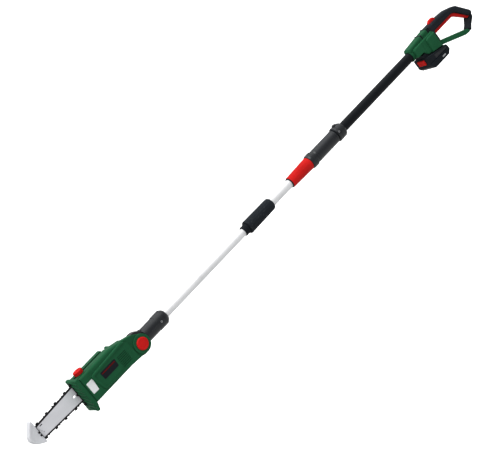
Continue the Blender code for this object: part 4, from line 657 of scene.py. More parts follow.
class SAW_OT_handle_tube(Operator):
    """The painted tube between the handle and the fore-grip, with the grip, its clamp collar and the socket"""

    bl_idname = "saw.handle_tube"
    bl_label = "Handle tube and fore-grip"

    def execute(self, context):
        sizes = context.scene.saw_sizes
        tube = lathe("handle_tube_painted", tube_ends("handle_tube", 1.5 * MM), steps=96)
        dress(tube, "black_painted_tube", "handle", "handle_tube")
        self.make_grip()
        self.make_clamp_collar()
        self.make_socket(sizes)
        return {"FINISHED"}

    def make_grip(self):
        low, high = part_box("fore_grip")
        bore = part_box("handle_tube")[1].z + GAP
        radius = high.z
        profile = [(low.x, bore), (low.x, radius - 1.4 * MM, 1.2 * MM), (low.x + 5 * MM, radius, 4 * MM)]
        for groove in (low.x + 9 * MM, high.x - 11 * MM):
            profile += [(groove, radius, 0.3 * MM), (groove + 0.4 * MM, radius - 0.6 * MM, 0.3 * MM)]
            profile += [(groove + 1.4 * MM, radius - 0.6 * MM, 0.3 * MM),
                        (groove + 1.8 * MM, radius, 0.3 * MM)]
        profile += [(high.x - 5 * MM, radius, 4 * MM), (high.x, radius - 1.8 * MM, 1.2 * MM), (high.x, bore)]
        dress(lathe("fore_grip_sleeve", profile, steps=120, ease=4), "gloss_black", "handle", "fore_grip")

    def make_clamp_collar(self):
        low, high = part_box("rear_collar")
        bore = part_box("handle_tube")[1].z + GAP
        radius, top = high.y, high.z
        profile = [(low.x, bore), (low.x, radius - 4 * MM, 2 * MM),
                   (low.x + 6 * MM, radius - 0.2 * MM, 4 * MM)]
        profile += [(high.x - 13 * MM, radius - 0.2 * MM, 1 * MM),
                    (high.x - 12 * MM, radius - 1.6 * MM, 0.5 * MM)]
        profile += [(high.x - 10.5 * MM, radius - 1.6 * MM, 0.5 * MM), (high.x - 9.5 * MM, radius, 1 * MM)]
        profile += [(high.x - 3 * MM, radius, 2 * MM), (high.x, radius - 3 * MM, 1.5 * MM), (high.x, bore)]
        collar = lathe("clamp_collar", profile, steps=96, ease=4)
        centre = (low.x + high.x) / 2
        lug = rod("lug", 15 * MM, top, 7 * MM, (centre, 0, 0), "Z", 1.5 * MM)
        ear = rod("ear", -radius + 4 * MM, radius + 0.6 * MM, 6 * MM, (high.x - 7 * MM, 0, 8 * MM), "Y",
                  1.5 * MM)
        inside = rod("inside", low.x - MM, high.x + MM, bore, steps=96)
        wells = [
            rod("well", top - 2 * MM, top + MM, 4.4 * MM, (centre, 0, 0), "Z"),
            rod("well", radius - 1.2 * MM, radius + 2 * MM, 3.9 * MM, (high.x - 7 * MM, 0, 8 * MM), "Y"),
        ]
        dress(carve(fuse(collar, lug, ear), inside, *wells), "gloss_black", "handle", "rear_collar")
        lug_screw = socket_screw("collar_screw_top", 4.1 * MM, top - 2.4 * MM, top - 0.6 * MM,
                                 (centre, 0, 0), "Z")
        dress(lug_screw, "fitting_zinc", "handle")
        place = (high.x - 7 * MM, 0, 8 * MM)
        ear_screw = socket_screw("collar_screw_side", 3.6 * MM, radius - 1.6 * MM, radius - 0.1 * MM, place,
                                 "Y")
        dress(ear_screw, "fitting_zinc", "handle")

    def make_socket(self, sizes):
        low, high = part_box("pole_socket")
        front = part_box("coupling_nut")[0].x
        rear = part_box("fore_grip")[1].x + GAP
        radius, neck = high.z, 16.8 * MM
        slide, spigot, seat = 13.2 * MM, 14.2 * MM, 14.4 * MM
        profile = [(low.x, slide), (low.x, spigot), (rear, spigot), (rear, radius - 2.4 * MM, 0.8 * MM)]
        profile += [(rear + 3 * MM, radius - 2.4 * MM, 0.6 * MM), (rear + 4.5 * MM, radius, 1.2 * MM)]
        profile += [(front - 6.5 * MM, radius, 1.5 * MM), (front - 3 * MM, radius - 1.3 * MM, 1.5 * MM)]
        profile += [(front - GAP, radius - 2.6 * MM, 1 * MM), (front - GAP, neck), (high.x, neck, 0.6 * MM)]
        profile += [(high.x, seat), (front - 19 * MM, seat), (front - 19 * MM, slide)]
        socket = lathe("pole_socket_collar", profile, steps=96, ease=4)
        grooves = rod("groove", rear + 8 * MM, front - 9 * MM, 0.9 * MM, (0, 0, 0), "X", 0.6 * MM, steps=12)
        grooves.data.transform(Matrix.Translation((0, 0, radius + 0.3 * MM)))
        turn = 2 * math.pi / sizes.collar_ribs
        cutters = row("grooves", grooves, sizes.collar_ribs, turn=(turn, 0, 0))
        dress(carve(socket, cutters), "gloss_black", "handle", "pole_socket")


def socket_screw(name, radius, low, high, centre, axis):
    """A cap screw's head with its six-sided socket. Its top faces up the axis."""
    head = rod(name, low, high, radius, centre, axis, 0.4 * MM)
    hexagon = [(0.5 * radius * math.cos(a), 0.5 * radius * math.sin(a))
               for a in (k * math.pi / 3 for k in range(6))]
    u, v = {"X": (1, 2), "Y": (0, 2), "Z": (0, 1)}[axis]
    corners = [(centre[u] + x, centre[v] + y) for x, y in hexagon]
    bottom, top = (high - 1.2 * MM, high + MM) if high > low else (high + 1.2 * MM, high - MM)
    return carve(head, slab("socket", corners, min(bottom, top), max(bottom, top), axis=axis))


class SAW_OT_coupling_nut(Operator):
    """The red nut that clamps the pole in the socket, with its seal"""

    bl_idname = "saw.coupling_nut"
    bl_label = "Coupling nut"

    def execute(self, context):
        low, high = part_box("coupling_nut")
        wide, narrow = 17.2 * MM, 14.4 * MM
        rear, front = high.z, 18.5 * MM
        length = high.x - low.x
        slope = (rear - front) / length
        outer = [(low.x, rear - 1.5 * MM, 0), (low.x + 0.5 * MM, rear - 0.6 * MM, 0),
                 (low.x + 1.6 * MM, rear, 0)]
        for share, depth in ((0.06, 0), (0.1, 0.06), (0.13, 0.2), (0.17, 0.3), (0.84, 0.3), (0.88, 0.2),
                             (0.91, 0.06)):
            outer.append((low.x + share * length, rear - slope * share * length, depth * MM))
        outer += [(high.x - 4 * MM, front + 0.1 * MM, 0), (high.x - 1.6 * MM, front - 0.3 * MM, 0)]
        outer += [(high.x - 0.5 * MM, front - 0.9 * MM, 0), (high.x, front - 1.9 * MM, 0)]
        inner = [(high.x, narrow), (low.x + 42.5 * MM, narrow), (low.x + 42.5 * MM, wide), (low.x, wide)]
        nut = fluted("coupling_nut_moulding", outer, inner, context.scene.saw_sizes.nut_flutes, points=12)
        dress(nut, "red_plastic", "coupling_nut", "coupling_nut")
        profile = [(high.x + 0.1 * MM, narrow), (high.x + 0.1 * MM, front - 1.2 * MM, 0.6 * MM)]
        profile += [(high.x + 2.8 * MM, front - 2.2 * MM, 0.8 * MM), (high.x + 3.2 * MM, narrow, 0.3 * MM)]
        dress(lathe("coupling_nut_seal", profile, steps=72), "soft_black", "coupling_nut")
        return {"FINISHED"}


class SAW_OT_pole(Operator):
    """The outer tube with its lock, and the inner tube that slides in it"""

    bl_idname = "saw.pole"
    bl_label = "Telescoping tubes and lock"

    def execute(self, context):
        sizes = context.scene.saw_sizes
        outer = lathe("outer_tube_drawn", tube_ends("outer_tube", MM), steps=96)
        dress(outer, "aluminium_tube", "pole", "outer_tube")
        inner = lathe("inner_tube_drawn", tube_ends("inner_tube", MM), steps=96)
        dress(inner, "aluminium_tube", "extension", "inner_tube")
        self.make_sleeve(sizes)
        self.make_collar()
        return {"FINISHED"}

    def make_sleeve(self, sizes):
        low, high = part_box("twist_sleeve")
        front, rear = high.z, 20.5 * MM
        bore, lip = 17.4 * MM, 14.4 * MM
        length = high.x - low.x
        outer = [(low.x, rear - 3.4 * MM, 0), (low.x + 0.8 * MM, rear - 2.2 * MM, 0)]
        outer += [(low.x + 2.6 * MM, rear - 0.9 * MM, 0), (low.x + 5 * MM, rear - 0.15 * MM, 0)]
        for share, depth in ((0.09, 0), (0.12, 0.1), (0.15, 0.45), (0.19, 0.7), (0.86, 0.7), (0.89, 0.45),
                             (0.92, 0.1)):
            outer.append((low.x + share * length, rear + (front - rear) * share, depth * MM))
        outer += [(high.x - 5 * MM, front, 0), (high.x - 2.2 * MM, front, 0),
                  (high.x - 0.8 * MM, front - 0.6 * MM, 0)]
        outer += [(high.x, front - 1.8 * MM, 0)]
        inner = [(high.x, bore), (low.x + 6 * MM, bore), (low.x + 6 * MM, lip), (low.x, lip)]
        sleeve = fluted("twist_sleeve_grip", outer, inner, sizes.sleeve_flutes, points=12, sharpness=2)
        dress(sleeve, "soft_black", "twist_sleeve", "twist_sleeve")

    def make_collar(self):
        low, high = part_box("lock_collar")
        bore, radius = 12.9 * MM, high.z
        profile = [(low.x, bore), (low.x, radius, 0.4 * MM), (low.x + 7 * MM, radius, 0.6 * MM)]
        profile += [(low.x + 8 * MM, radius - 1.3 * MM, 0.4 * MM),
                    (high.x - 7 * MM, radius - 1.3 * MM, 0.4 * MM)]
        profile += [(high.x - 6 * MM, radius - 0.3 * MM, 0.6 * MM),
                    (high.x - 2.5 * MM, radius - 0.3 * MM, 1 * MM)]
        profile += [(high.x, radius - 2 * MM, 0.6 * MM), (high.x, bore, 0.3 * MM)]
        dress(lathe("lock_collar_ring", profile, steps=96), "black_plastic", "pole", "lock_collar")


class SAW_OT_adapter(Operator):
    """The black casting between the pole and the head"""

    bl_idname = "saw.adapter"
    bl_label = "Pole adapter"

    def execute(self, context):
        low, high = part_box("pole_adapter")
        hub, half = high.z, 12 * MM
        collar, neck = 25 * MM, 23.8 * MM
        step, front = low.x + 42 * MM, PIVOT_X - 30.8 * MM
        profile = [(low.x, 0), (low.x, collar - 6 * MM, 3 * MM), (low.x + 9 * MM, collar, 7 * MM)]
        profile += [(low.x + 13 * MM, collar, 0.4 * MM), (low.x + 13.7 * MM, collar - 0.7 * MM, 0.3 * MM)]
        profile += [(low.x + 15 * MM, collar - 0.7 * MM, 0.3 * MM), (low.x + 15.7 * MM, collar, 0.4 * MM)]
        profile += [(step - 1.6 * MM, collar, 1 * MM), (step, neck, 0.5 * MM), (front, neck, 1.5 * MM),
                    (front, 0)]
        adapter = lathe("pole_adapter_casting", profile, steps=96, ease=4)
        disc = rod("hub", -half, half, hub, (PIVOT_X, 0, 0), "Y", 1.2 * MM, steps=96)
        web = block("web", (front - 6 * MM, -half, -21 * MM), (PIVOT_X, half, 21 * MM), 1 * MM)
        ledge = block("ledge", (step - 3 * MM, neck - 3.6 * MM, -1.4 * MM),
                      (front - 12 * MM, neck + 0.9 * MM, 1.4 * MM), 0.8 * MM)
        knuckle = rod("knuckle", -9 * MM, 9 * MM, 5.5 * MM, (front - 1 * MM, 0, 19.5 * MM), "Y", 1.5 * MM)
        bore = rod("bore", low.x - MM, low.x + 68 * MM, 12.8 * MM)
        pin = rod("pin", -half - MM, half + MM, 6.3 * MM, (PIVOT_X, 0, 0), "Y")
        carve(fuse(adapter, disc, web, ledge, knuckle), bore, pin)
        well = rod("well", collar - 1.5 * MM, collar + MM, 3.8 * MM, (step - 12 * MM, 0, 0), "Y")
        dress(carve(adapter, well), "gloss_black", "extension", "pole_adapter")
        place = (step - 12 * MM, 0, 0)
        screw = socket_screw("adapter_screw", 3.5 * MM, collar - 1.8 * MM, collar - 0.4 * MM, place, "Y")
        dress(screw, "fitting_zinc", "extension")
        return {"FINISHED"}


# Pieces of the handle

SPINE = [(95, 9), (95, 31.5), (40, 28.5, 30), (-12, 24.5, 3), (-16, 19, 2), (-16, 9)]
FRONT_BODY = [(94, -39), (94, 17), (0, 15), (-7, 10, 2), (-7, -16, 3), (20, -16.5), (34, -33.5, 2)]
REAR_BODY = [(95, -44), (95, 12.5), (58, 12), (52, 8, 2), (49, -36.5, 2)]
STRUT = [(90, -25.5), (95, -27.2), (227.7, -73.3), (235.7, -86.4, 4), (210, -84.5, 5), (119, -51.6, 20),
         (90, -42)]
BODY_HOLLOW = [(92, -60), (92, 13), (0, 11), (-3, 8), (-3, -12), (18, -12.5), (30, -31), (30, -60)]
SPINE_HOLLOW = [(92, 0), (92, 28), (40, 25), (20, 23), (20, 0)]
STRUT_HOLLOW = [(90, -29.5), (222, -75.5), (212, -81.5), (119, -48.6), (90, -40)]
BATTERY_CHANNEL = [(20, -17), (89, -17), (89, -60), (20, -60)]
GRIP = [(95.3, 31.5), (154, 31, 0), (197, 27.5, 60), (238, 15, 30), (283, -38, 10), (236, -86.3, 2)]
GRIP += [(228, -72.6, 2), (264, -47.5, 4), (227, -5, 12), (211, 4, 10), (114, 4, 4), (114, -33.4, 3),
         (95.3, -26.6)]
GRIP_HOLLOW = [(98.5, 28), (154, 27.5), (196, 24, 60), (236, 12, 28), (278, -36, 5), (276, -41, 4),
               (245, -71, 3)]
GRIP_HOLLOW += [(242, -67.5), (268, -47, 3), (230, -2, 12), (213, 8, 10), (110.5, 8), (110.5, -29),
                (98.5, -25)]
TRIGGER = [(117.5, 11, 2), (165, 11, 20), (205, 9, 10), (226, -4, 10), (264, -45, 2), (258, -50, 2)]
TRIGGER += [(219, -14, 14), (207, -7, 8), (117.5, -7, 4)]
TRIGGER_SLOT = [(116.5, -12), (116.5, 22), (190, 22), (232, 5), (272, -44), (268, -54), (225, -20)]
SPLIT = 0.15 * MM
HANDLE_SCREWS = ((60, 22, 17), (222, -78.5, 12.5))


class SAW_OT_handle(Operator):
    """The green handle shells and the soft rear grip"""

    bl_idname = "saw.handle"
    bl_label = "Handle"

    def execute(self, context):
        edge = context.scene.saw_sizes.soft_edge
        left = self.make_shell(edge)
        right = self.drilled(mirrored(left, "handle_right"))
        dress(left, "green_body", "handle", "handle_shell_left")
        dress(right, "green_body", "handle", "handle_shell_right")
        self.make_grips()
        self.make_spine_shade_bands()
        return {"FINISHED"}

    def make_shell(self, edge):
        low = SPLIT
        shell = slab("handle_left", from_handle(*FRONT_BODY), low, 28 * MM, 0, 4 * MM)
        rear = slab("rear", from_handle(*REAR_BODY), low, 35 * MM, 0, 5 * MM)
        strut = slab("strut", from_handle(*STRUT), low, 12.5 * MM, 0, 3.5 * MM)
        spine = slab("spine", from_handle(*SPINE), low, 17 * MM, 0, 6 * MM)
        fuse(shell, rear, strut, spine)
        hollows = [
            slab("body_hollow", from_handle(*BODY_HOLLOW), -MM, 25.5 * MM),
            slab("spine_hollow", from_handle(*SPINE_HOLLOW), -MM, 14.5 * MM),
            slab("strut_hollow", from_handle(*STRUT_HOLLOW), -MM, 10 * MM),
            slab("battery_channel", from_handle(*BATTERY_CHANNEL), -MM, 25 * MM),
        ]
        carve(shell, *hollows)
        seat = rod("seat", HANDLE_X - 44 * MM, HANDLE_X + 17 * MM, 19 * MM, edge=edge, steps=72)
        other_half = block("half", (HANDLE_X - 60 * MM, -30 * MM, -30 * MM),
                           (HANDLE_X + 30 * MM, low, 30 * MM))
        fuse(shell, carve(seat, other_half))
        for x, z, depth in HANDLE_SCREWS:
            fuse(shell, rod("post", low, (depth - 1) * MM, 4.5 * MM, (HANDLE_X - x * MM, 0, z * MM), "Y"))
        carve(shell, rod("bore", HANDLE_X - 40.3 * MM, HANDLE_X + 20 * MM, 16.3 * MM, steps=72))
        carve(shell, rod("wire_way", HANDLE_X - 46 * MM, HANDLE_X, 8 * MM))
        for x, z, depth in HANDLE_SCREWS:
            carve(shell, rod("pilot", -40 * MM, 8 * MM, 2.1 * MM, (HANDLE_X - x * MM, 0, z * MM), "Y"))
        grooves = [
            slab("groove", from_handle((31.5, 13), (33.5, 13), (30.5, -30), (28.5, -30)), 27.3 * MM, 30 * MM),
            slab("groove", from_handle((90, 9), (91.6, 9), (91.6, -24), (90, -24)), 34.3 * MM, 37 * MM),
        ]
        return carve(shell, *grooves)

    def drilled(self, shell):
        for x, z, depth in HANDLE_SCREWS:
            place = (HANDLE_X - x * MM, 0, z * MM)
            carve(shell, rod("well", -40 * MM, (2.5 - depth + 1) * MM, 3.9 * MM, place, "Y"))
            carve(shell, rod("shank", -(depth - 1) * MM, MM, 2.1 * MM, place, "Y"))
        return shell

    def make_grips(self):
        grip = slab("rear_grip_soft_left", from_handle(*GRIP), SPLIT, 17 * MM, 0, 8 * MM, steps=7)
        carve(grip, slab("hollow", from_handle(*GRIP_HOLLOW), -MM, 14 * MM))
        carve(grip, rod("trunnion", -MM, 12 * MM, 2.4 * MM, (HANDLE_X - 259.5 * MM, 0, -45 * MM), "Y"))
        carve(grip, slab("slot", from_handle(*TRIGGER_SLOT), -MM, 7.3 * MM))
        low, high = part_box("lock_off_button")
        slot = block("lock_slot", (low.x - 0.6 * MM, -MM, 20 * MM), (high.x + 0.6 * MM, 6.5 * MM, 36 * MM))
        carve(grip, slot)
        seam = slab("seam", from_handle((118, 22.4), (192, 20.2), (192, 19.2), (118, 21.4)), 16.4 * MM,
                    18 * MM)
        carve(grip, seam)
        right = mirrored(grip, "rear_grip_soft_right")
        dress(grip, "soft_black", "handle", "rear_grip_left")
        dress(right, "soft_black", "handle", "rear_grip_right")

    def make_spine_shade_bands(self):
        """Two black bands across the spine: painted shade standing for the dark slots there."""
        # Black plastic here is painted shade: it stands for the shade inside the spine's slots.
        for name, near, far in (("spine_clip_front", 51, 57), ("spine_clip_rear", 84, 91)):
            top = 29.4 if near < 60 else 31.4
            outline = [(near, 10, 1), (near + 1.5, top + 0.5, 1), (far + 1.5, top + 0.6, 1), (far, 10, 1)]
            shade_band = slab(name, from_handle(*outline), -17.6 * MM, 17.6 * MM, 2 * MM, 2 * MM)
            inside = slab("inside", from_handle(*SPINE), -17.1 * MM, 17.1 * MM, 6 * MM, 6 * MM)
            carve(shade_band, inside)
            dress(shade_band, "black_plastic", "handle")


class SAW_OT_trigger(Operator):
    """The long red trigger and the lock-off button on top of the grip"""

    bl_idname = "saw.trigger"
    bl_label = "Trigger and lock-off button"

    def execute(self, context):
        trigger = slab("trigger_bar", from_handle(*TRIGGER), -6.5 * MM, 6.5 * MM, 2.4 * MM, 2.4 * MM)
        fuse(trigger, rod("trunnion", -11 * MM, 11 * MM, 2 * MM, (HANDLE_X - 259.5 * MM, 0, -45 * MM), "Y",
                          0.3 * MM))
        dress(trigger, "red_plastic", "trigger", "trigger")
        button = [(149, 25.5), (117, 25.5), (117, 34, 2), (127, 40.5, 3), (143, 40.5, 3), (149, 34, 2)]
        lock_off = slab("lock_off_slider", from_handle(*button), -6 * MM, 6 * MM, 1.6 * MM, 1.6 * MM)
        ridge = rod("ridge", -7 * MM, 7 * MM, 0.7 * MM, (0, 0, 0), "Y", steps=12)
        centre = (HANDLE_X - 141 * MM, 0, 41 * MM)
        carve(lock_off, row("ridges", ridge, 5, step=(3 * MM, 0, 0), centre=centre))
        dress(lock_off, "red_plastic", "lock_off_button", "lock_off_button")
        return {"FINISHED"}


CASE_UPPER = [(9, -57), (9, -32, 2), (20, -32.8, 1), (104, -47.5, 2), (106, -57)]
CASE_LOWER = [(106, -57.3), (106, -66, 4), (92, -78, 6), (20, -78, 5), (9, -67, 3), (9, -57.3)]


class SAW_OT_battery(Operator):
    """The slide-on battery pack with its latch"""

    bl_idname = "saw.battery"
    bl_label = "Battery and latch"

    def execute(self, context):
        self.make_upper()
        self.make_lower()
        self.make_latch()
        self.make_marks()
        return {"FINISHED"}

    def make_upper(self):
        half = 37.5 * MM
        case = slab("battery_case_top", from_handle(*CASE_UPPER), -half, half, 3.5 * MM, 3.5 * MM)
        rail = block("rail", (HANDLE_X - 75 * MM, -24 * MM, -42 * MM),
                     (HANDLE_X - 12 * MM, 24 * MM, -20 * MM), 2 * MM)
        fuse(case, rail)
        tray = block("tray", (HANDLE_X - 103.8 * MM, -35 * MM, -58 * MM),
                     (HANDLE_X - 11.2 * MM, 35 * MM, -51 * MM))
        well = block("well", (HANDLE_X - 16 * MM, -18.5 * MM, -55 * MM), (HANDLE_X, 18.5 * MM, -36 * MM))
        carve(case, tray, well)
        slot = block("slot", (HANDLE_X - 80 * MM, -1.5 * MM, -31 * MM),
                     (HANDLE_X - 60 * MM, 1.5 * MM, -23 * MM))
        for side in (-1, 1):
            pair = slot.copy()
            pair.data = slot.data.copy()
            bpy.context.scene.collection.objects.link(pair)
            carve(case, row("slots", pair, 2, step=(0, side * 10 * MM, 0), centre=(0, side * 6 * MM, 0)))
        bpy.data.objects.remove(slot)
        dress(case, "black_plastic", "battery", "battery_case_upper")

    def make_lower(self):
        half = 37.5 * MM
        case = slab("battery_case_base", from_handle(*CASE_LOWER), -half, half, 3.5 * MM, 3.5 * MM)
        low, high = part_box("cell_pack")
        tray = block("tray", (HANDLE_X - 103.8 * MM, -35 * MM, -66 * MM),
                     (HANDLE_X - 11.2 * MM, 35 * MM, -50 * MM))
        step = (high.x - low.x) / 5
        bed = rod("bed", -33.7 * MM, 33.7 * MM, 9.5 * MM, (0, 0, 0), "Y")
        beds = row("beds", bed, 5, step=(step, 0, 0), centre=(low.x + step / 2, 0, -63 * MM))
        carve(case, beds)
        carve(case, tray)
        for side in (-1, 1):
            recess = slab(
                "recess", from_handle((25, -75, 2), (25, -61, 2), (88, -61, 2), (93, -66, 2), (85, -75, 2)),
                *sorted((side * (half - 0.8 * MM), side * (half + MM)))
            )
            carve(case, recess)
        foot = block("foot", (HANDLE_X - 78 * MM, -20 * MM, -79 * MM),
                     (HANDLE_X - 32 * MM, 20 * MM, -77.5 * MM), 0.3 * MM)
        dress(carve(case, foot), "black_plastic", "battery", "battery_case_lower")

    def make_latch(self):
        low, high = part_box("battery_latch")
        latch = block("battery_latch_pad", (low.x, low.y, low.z - 5 * MM), high, 1.4 * MM)
        ridge = rod("ridge", low.y + 5 * MM, high.y - 5 * MM, 0.6 * MM, (0, 0, 0), "Y", steps=12)
        centre = (high.x + 0.2 * MM, 0, low.z - 1.5 * MM)
        carve(latch, row("ridges", ridge, 4, step=(0, 0, 2 * MM), centre=centre))
        dress(latch, "red_plastic", "battery_latch", "battery_latch")

    def make_marks(self):
        """A dark framed panel on each side with a plain pale bar."""
        half = 37.5 * MM
        for side, word in ((-1, "right"), (1, "left")):
            levels = sorted((side * (half - 0.6 * MM), side * (half + 0.2 * MM)))
            corners = ((40, -55.5, 2), (40, -42, 2), (98, -51.5, 2), (98, -55.5, 2))
            panel = slab("battery_side_panel_" + word, from_handle(*corners), *levels, 0.3 * MM, 0.3 * MM)
            dress(panel, "gloss_black", "battery")
            levels = sorted((side * (half - 0.9 * MM), side * (half - 0.5 * MM)))
            bar = slab("battery_level_bar_" + word, from_handle(*[(x, z, 0.8) for x,
                                                                  z in ((64, -71), (64, -66), (80, -66),
                                                                        (80, -71))]), *levels)
            dress(bar, "mark_pale", "battery")


# Pieces of the saw head

CHEEK = [(60, -25.2), (60, 54), (38, 49.5, 8), (10, 42, 10), (-14, 25.6, 3), (-14, -10, 3), (4, -28.9, 3)]
HEAD_SCREWS = ((70, 50), (70, -16))


def head_side(back, front, depth=0.0, lead=0.0):
    """The head's side outline between two places from the pivot, drawn in by a depth."""
    slope = 12 / 55
    top, bottom = 62 - depth, -25.5 + depth
    corners = [(back, bottom, 2), (front + lead, bottom, 0), (front + lead, top, 0)]
    if back < 90:
        corners += [(93, top, 25), (back, 50 + slope * (back - 38) - 1.024 * depth, 2)]
    else:
        corners += [(back, top, 2)]
    return from_pivot(*corners)


def at_pivot(x, z):
    return (PIVOT_X + x * MM, 0, z * MM)


class SAW_OT_head_shells(Operator):
    """The two green shells of the saw head with the fork of the tilt joint"""

    bl_idname = "saw.head_shells"
    bl_label = "Head shells"

    def execute(self, context):
        self.make_left()
        self.make_right()
        return {"FINISHED"}

    def cheek(self, side):
        levels = sorted((side * 13 * MM, side * 31.5 * MM))
        edges = (0, 2.5 * MM) if side > 0 else (2.5 * MM, 0)
        plate = slab("cheek", from_pivot(*CHEEK), *levels, *edges)
        boss = rod("boss", *sorted((side * 13 * MM, side * 35.5 * MM)), 29.3 * MM, at_pivot(0, 0), "Y",
                   1.6 * MM, steps=96)
        return plate, boss

    def make_left(self):
        shell = slab("head_left", head_side(39, 219), SPLIT, 33 * MM, 0, 7 * MM, steps=7)
        fuse(shell, *self.cheek(1))
        carve(shell, slab("hollow", head_side(45, 216.5, 2.5), -MM, 30.5 * MM))
        posts = [rod("post", SPLIT, 32 * MM, 4.5 * MM, at_pivot(x, z), "Y") for x, z in HEAD_SCREWS]
        fuse(shell, *posts)
        window = from_pivot(*WINDOW_CORNERS)
        carve(shell, slab("window", window, 28 * MM, 36 * MM))
        x, z = at_pivot(54, 0)[0], -10 * MM
        carve(shell, block("vent", (x, 28 * MM, z), (x + 36 * MM, 36 * MM, z + 44 * MM), 1 * MM))
        groove = from_pivot((108, 0), (213, -3.2), (213, 1.4), (108, 0.5))
        groove = [(u, v + 21.4 * MM, r) for u, v, r in groove]
        carve(shell, slab("groove", groove, 60 * MM, 64 * MM, axis="Z"))
        carve(shell, rod("button_well", 19 * MM, 37 * MM, 19.9 * MM, at_pivot(0, 0), "Y", steps=96))
        carve(shell, rod("pin", 12 * MM, 36 * MM, 6.3 * MM, at_pivot(0, 0), "Y"))
        carve(shell, rod("neck", 55 * MM, 63 * MM, 6.3 * MM, (PIVOT_X + 193 * MM, -3 * MM, 0), "Z"))
        carve(shell, *[rod("pilot", -MM, 12 * MM, 2.1 * MM, at_pivot(x, z), "Y") for x, z in HEAD_SCREWS])
        dress(shell, "green_body", "head", "head_shell_left")

    def make_right(self):
        shell = slab("head_right", head_side(39, 219), -34 * MM, -SPLIT, 6 * MM, 0, steps=7)
        front = at_pivot(219, 0)[0]
        carve(shell, block("cover_room", (PIVOT_X + 95 * MM, -35 * MM, -60 * MM),
                           (front + MM, -12 * MM, 90 * MM)))
        fuse(shell, *self.cheek(-1))
        carve(shell, slab("hollow", head_side(45, 216.5, 2.5), -9.5 * MM, MM))
        carve(shell, slab("rear_hollow", head_side(45, 92.5, 2.5), -31.5 * MM, MM))
        fuse(shell, *[rod("post", -33 * MM, -SPLIT, 5 * MM, at_pivot(x, z), "Y") for x, z in HEAD_SCREWS])
        pad_y = BAR_Y + 2.5 * MM
        fuse(shell, block("bar_pad", (PIVOT_X + 170 * MM, pad_y, 6 * MM),
                          (PIVOT_X + 214 * MM, -11 * MM, 36 * MM)))
        for x, z in HEAD_SCREWS:
            carve(shell, rod("shank", -60 * MM, MM, 2.1 * MM, at_pivot(x, z), "Y"))
            carve(shell, rod("well", -60 * MM, -9.5 * MM, 3.9 * MM, at_pivot(x, z), "Y"))
        carve(shell, rod("spindle", -20 * MM, -5 * MM, 7 * MM, (SPINDLE_X, 0, BAR_Z), "Y"))
        carve(shell, rod("stud", -20 * MM, -5 * MM, 4.3 * MM, (STUD_X, 0, BAR_Z), "Y"))
        carve(shell, rod("pin", -36 * MM, -12 * MM, 6.3 * MM, at_pivot(0, 0), "Y"))
        carve(shell, rod("pin_well", -37 * MM, -31 * MM, 11.3 * MM, at_pivot(0, 0), "Y", steps=72))
        carve(shell, rod("neck", 55 * MM, 63 * MM, 6.3 * MM, (PIVOT_X + 193 * MM, -3 * MM, 0), "Z"))
        dress(shell, "green_body", "head", "head_shell_right")


WINDOW_CORNERS = [(185, 37, 2.5), (211.5, 37, 2.5), (211.5, -1, 2.5), (189, -1.5, 2.5)]
PANEL = [(32, -24, 4), (175, -17, 8), (190, 44, 10), (52, 52.5, 6), (34, 38, 6)]
PANEL_FACE_Y = 38.3 * MM
RECESS_FACE_Y = 35.8 * MM


class SAW_OT_motor_panel(Operator):
    """The raised panel over the motor, with its cooling slots and a plain label"""

    bl_idname = "saw.motor_panel"
    bl_label = "Motor panel and label"

    def execute(self, context):
        sizes = context.scene.saw_sizes
        low = 33.3 * MM
        panel = slab("motor_panel", from_pivot(*PANEL), low, PANEL_FACE_Y, 0, 4 * MM, steps=6)
        recess = from_pivot((20, -19.5, 4), (168, -12.5, 6), (180, 38, 7), (20, 46, 6))
        carve(panel, slab("recess", recess, RECESS_FACE_Y, 42 * MM, 1.2 * MM, 0))
        carve(panel, rod("boss_room", low - MM, 42 * MM, 30.3 * MM, at_pivot(0, 0), "Y", steps=96))
        slot = slab("slot", oblong(0, 36 * MM, 0, sizes.vent_height, 0.7 * MM), low - MM, 42 * MM)
        slots = row("slots", slot, sizes.vent_slots, step=(0, 0, 5.6 * MM), centre=at_pivot(54, -9))
        carve(panel, slots)
        line = slab("line", oblong(0, 58 * MM, 0, 0.5 * MM, 0.2 * MM), RECESS_FACE_Y - 0.4 * MM, 42 * MM)
        carve(panel, row("lines", line, 6, step=(0, 0, 5.6 * MM), centre=at_pivot(38, -6.5)))
        dress(panel, "green_body", "head", "motor_cover")
        x = at_pivot(54.2, 0)[0]
        screen = block("vent_screen", (x, 30.7 * MM, -9.8 * MM), (x + 35.6 * MM, 31.5 * MM, 33.8 * MM),
                       0.3 * MM)
        dress(screen, "black_plastic", "head")
        self.make_label()
        return {"FINISHED"}

    def make_label(self):
        """A black label with one plain red stripe along its upper edge."""
        low, high = RECESS_FACE_Y + 0.02 * MM, RECESS_FACE_Y + 0.8 * MM
        corners = from_pivot((99, 6.5, 3), (157, 6.5, 3), (159, 31, 3), (97, 31, 3))
        plate = slab("label_plate_plain", corners, low, high, 0, 0.4 * MM)
        dress(plate, "black_plastic", "head", "label_plate")
        corners = from_pivot((101, 23, 0.4), (155, 23, 0.4), (155, 26, 0.4), (101, 26, 0.4))
        dress(slab("label_stripe", corners, high - 0.1 * MM, high + 0.12 * MM), "mark_red", "head")


